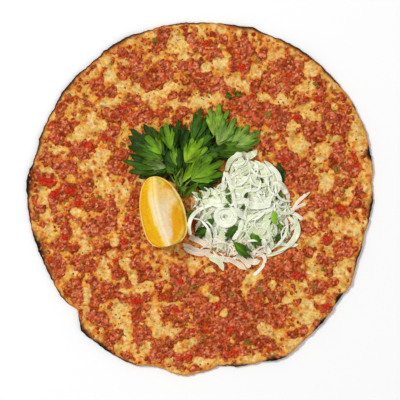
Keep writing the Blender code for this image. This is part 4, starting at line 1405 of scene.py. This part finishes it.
def add_thin_slices(pile, ground, edge):
    """Thin slices near the top, clear of the nested rings."""
    luck = np.random.default_rng(13)
    for k in range(THIN_SLICES):
        angle = 2 * np.pi * luck.random()
        share = (0.86 if k % 3 else 0.97) * math.sqrt(luck.random() if k % 3 else luck.uniform(0.7, 1))
        x, y = onion_place(angle, share, edge)
        heading = angle + math.pi / 2 + luck.normal(0, 0.6)
        length, bend = luck.uniform(9, 22), luck.uniform(0.15, 0.4)
        ends = bent(x, y, heading, length, bend)
        clear = min(math.dist(end, (RINGS_X, RINGS_Y)) for end in ends) > RINGS_CLEAR
        if clear and furthest(ends, edge) < 1.0:
            tint = "pink" if y < -38 else ("white", "clear")[k % 2]
            width, roll = luck.uniform(1.1, 2.1), luck.normal(0, 0.3)
            lay_slice(pile, ground, ends, width, 0.5, roll, tint, 1700 + k, steps=20, around=10)


def add_greens(pile, ground, rows, rise, seed, plain):
    """Leaves of parsley among the slices."""
    for k, (x0, y0, x1, y1, width, lobes, shade) in enumerate(rows):
        tip = (x1, y1)
        add_leaf(pile, ground, (x0, y0), tip, width, (0.6, rise), lobes, shade, seed + 3 * k, True, plain)


def add_bud(pile, ground):
    """One fat pale green piece."""
    stem = curve_through(*BUD, 20)
    stem[:, 2] = ground.at(stem[:, 0], stem[:, 1]).max() + 1.2
    fat = np.sin(np.linspace(0.12, math.pi - 0.12, 20)) ** 0.5
    sections, _ = sweep(stem, BUD_WIDTH * fat, BUD_THICKNESS * fat, 0.1, 12, power=0.9)
    pile.add(*loft(sections), linear(134, 186, 36))


def make_onion(ground, onion_material, leaf_material):
    """The heap: a mound, slices from the lowest up with leaves among them, and nested rings."""
    edge = edge_of("onion_heap", ONION_X, ONION_Y)
    pile, greens = Pile(), Pile()
    share = onion_share(ground.x, ground.y, edge)
    peak = np.exp(-(((ground.x - PEAK_X) ** 2 + (ground.y - PEAK_Y) ** 2) / 30.0**2))
    dome = ground.bare + ease(HEAP_SHARE, 0.5, share) * (1.6 + 4.2 * peak)
    dome = dome + 0.5 * rough(ground.x, 2 * ground.y, 5, 803, 2) * ease(HEAP_SHARE, 0.7, share)
    add_mound(pile, ground, edge, dome)
    ground.z = np.where(share < HEAP_SHARE, np.maximum(ground.z, dome), ground.z)
    add_lower_slices(pile, ground, edge)
    filled = np.maximum(smooth(ground.z, 6) - 1.0, dome)
    add_mound(pile, ground, edge, np.where(share < 0.8, filled, ground.bare))
    for k, (*places, width, tint) in enumerate(BROAD):
        roll = (0.1, -0.1)[k % 2]
        lay_slice(pile, ground, np.reshape(places, (3, 2)), 0.65 * width, 0.5, roll, tint, 1100 + k)
    add_greens(greens, ground, GREENS[:LOWER_GREENS], 0.6, 1200, True)
    for k, (*places, width, tint) in enumerate(SLICES):
        roll = (0.0, 0.3, -0.3, 0.15)[k % 4]
        lay_slice(pile, ground, np.reshape(places, (3, 2)), 0.85 * width, 0.6, roll, tint, 1300 + k)
    add_thin_slices(pile, ground, edge)
    turn = 2 * np.pi * np.arange(48) / 48
    for radius, width in RINGS:
        x, y = RINGS_X + radius * np.cos(turn), RINGS_Y + RINGS_SQUASH * radius * np.sin(turn)
        lay_slice(pile, ground, np.stack((x, y), -1), width, RINGS_THICKNESS, 0.0, "white", 1400, True)
    add_greens(greens, ground, GREENS[LOWER_GREENS:], 0.8, 1500, False)
    add_bud(greens, ground)
    piece = pile.piece("onion_slices", onion_material, "sliced_onion")
    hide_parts("onion_heap")
    greens.piece("parsley_in_onion", leaf_material, "parsley")


# ---------------------------------------------------------------- stage


FLOOR_HALF = 2.2
FLOOR_DROP = 0.3 * MM
FLOOR_WHITE = 0.97
LIGHTS = (("key", (-1.5, 0.9, 2.5), 0.9, 56), ("fill", (1.4, -1.0, 2.6), 2.4, 16))
SKY_STRENGTH = 0.42
LENS, SENSOR, VIEW_END = 200, 36, 20
CAMERA_Y, CAMERA_RISE = -0.9 * MM, 4 * MM


def make_stage():
    """A plain pale floor."""
    mesh = bpy.data.meshes.new("floor")
    corners = [(i * FLOOR_HALF, j * FLOOR_HALF, 0) for i, j in ((-1, -1), (1, -1), (1, 1), (-1, 1))]
    mesh.from_pydata(corners, [], [(0, 1, 2, 3)])
    floor = bpy.data.objects.new("floor", mesh)
    bpy.context.scene.collection.objects.link(floor)
    floor.location.z = -FLOOR_DROP
    material = bpy.data.materials.new("pale_floor")
    material.use_nodes = True
    shader = material.node_tree.nodes["Principled BSDF"]
    shader.inputs["Base Color"].default_value = (FLOOR_WHITE, FLOOR_WHITE, FLOOR_WHITE, 1)
    shader.inputs["Roughness"].default_value = 0.9
    mesh.materials.append(material)


def make_light(name, place, size, power):
    """A round soft light turned to the middle of the floor."""
    light = bpy.data.lights.new(name, "AREA")
    light.energy = power
    light.shape = "DISK"
    light.size = size
    lamp = bpy.data.objects.new(name, light)
    lamp.location = place
    lamp.rotation_euler = (-Vector(place)).to_track_quat("-Z", "Y").to_euler()
    bpy.context.scene.collection.objects.link(lamp)


def make_view():
    """An even sky, two soft lights, and a camera straight above."""
    scene = bpy.context.scene
    scene.view_settings.view_transform = "Standard"
    scene.world = bpy.data.worlds.new("studio")
    scene.world.use_nodes = True
    background = scene.world.node_tree.nodes["Background"]
    background.inputs["Color"].default_value = (1, 1, 1, 1)
    background.inputs["Strength"].default_value = SKY_STRENGTH
    for light in LIGHTS:
        make_light(*light)
    camera = bpy.data.objects.new("camera", bpy.data.cameras.new("camera"))
    camera.data.lens = LENS
    camera.data.sensor_width = SENSOR
    camera.data.clip_end = VIEW_END
    camera.location = (0, CAMERA_Y, VIEW_WIDTH * LENS / SENSOR + CAMERA_RISE)
    scene.collection.objects.link(camera)
    scene.camera = camera


# Name, roughness, depth and size of its relief, size and strength of its patches, shine.
crumb = food_material("baked_dough", 0.7, 0.5, 1.6, 2.2, 0.25, 0.08)
mince = food_material("minced_meat", 0.5, 0.6, 0.9, 1.7, 0.5, 0.06)
rind = food_material("lemon", 0.32, 0.1, 0.7, 1.5, 0.05, 0.12)
leafy = food_material("parsley", 0.48, 0.15, 0.8, 1.5, 0.16, 0.15)
slices = food_material("sliced_onion", 0.3, 0.12, 1.2, 2.5, 0.05, 0.4, subsurface=0.15)
diced = food_material("diced_vegetables", 0.4, 0.15, 0.7, 1.2, 0.15, 0.12)
make_bread(crumb)
make_meat(mince)
make_crumbs(mince)
make_dice("red_pepper", RED, 3, 0.5, 170, 1.5, 0.16, 0.22, RED_SHADES, 23, diced)
make_dice("green_pepper", GREEN, 1, 0.85, 120, 1.3, 0.2, 0.2, GREEN_SHADES, 25, diced)
make_herb_flecks(diced)
garnish_ground = Ground(-84, -78, 104, 98, 0.6)
make_parsley(garnish_ground, leafy)
make_lemon(garnish_ground, rind)
make_onion(garnish_ground, slices, leafy)
make_stage()
make_view()
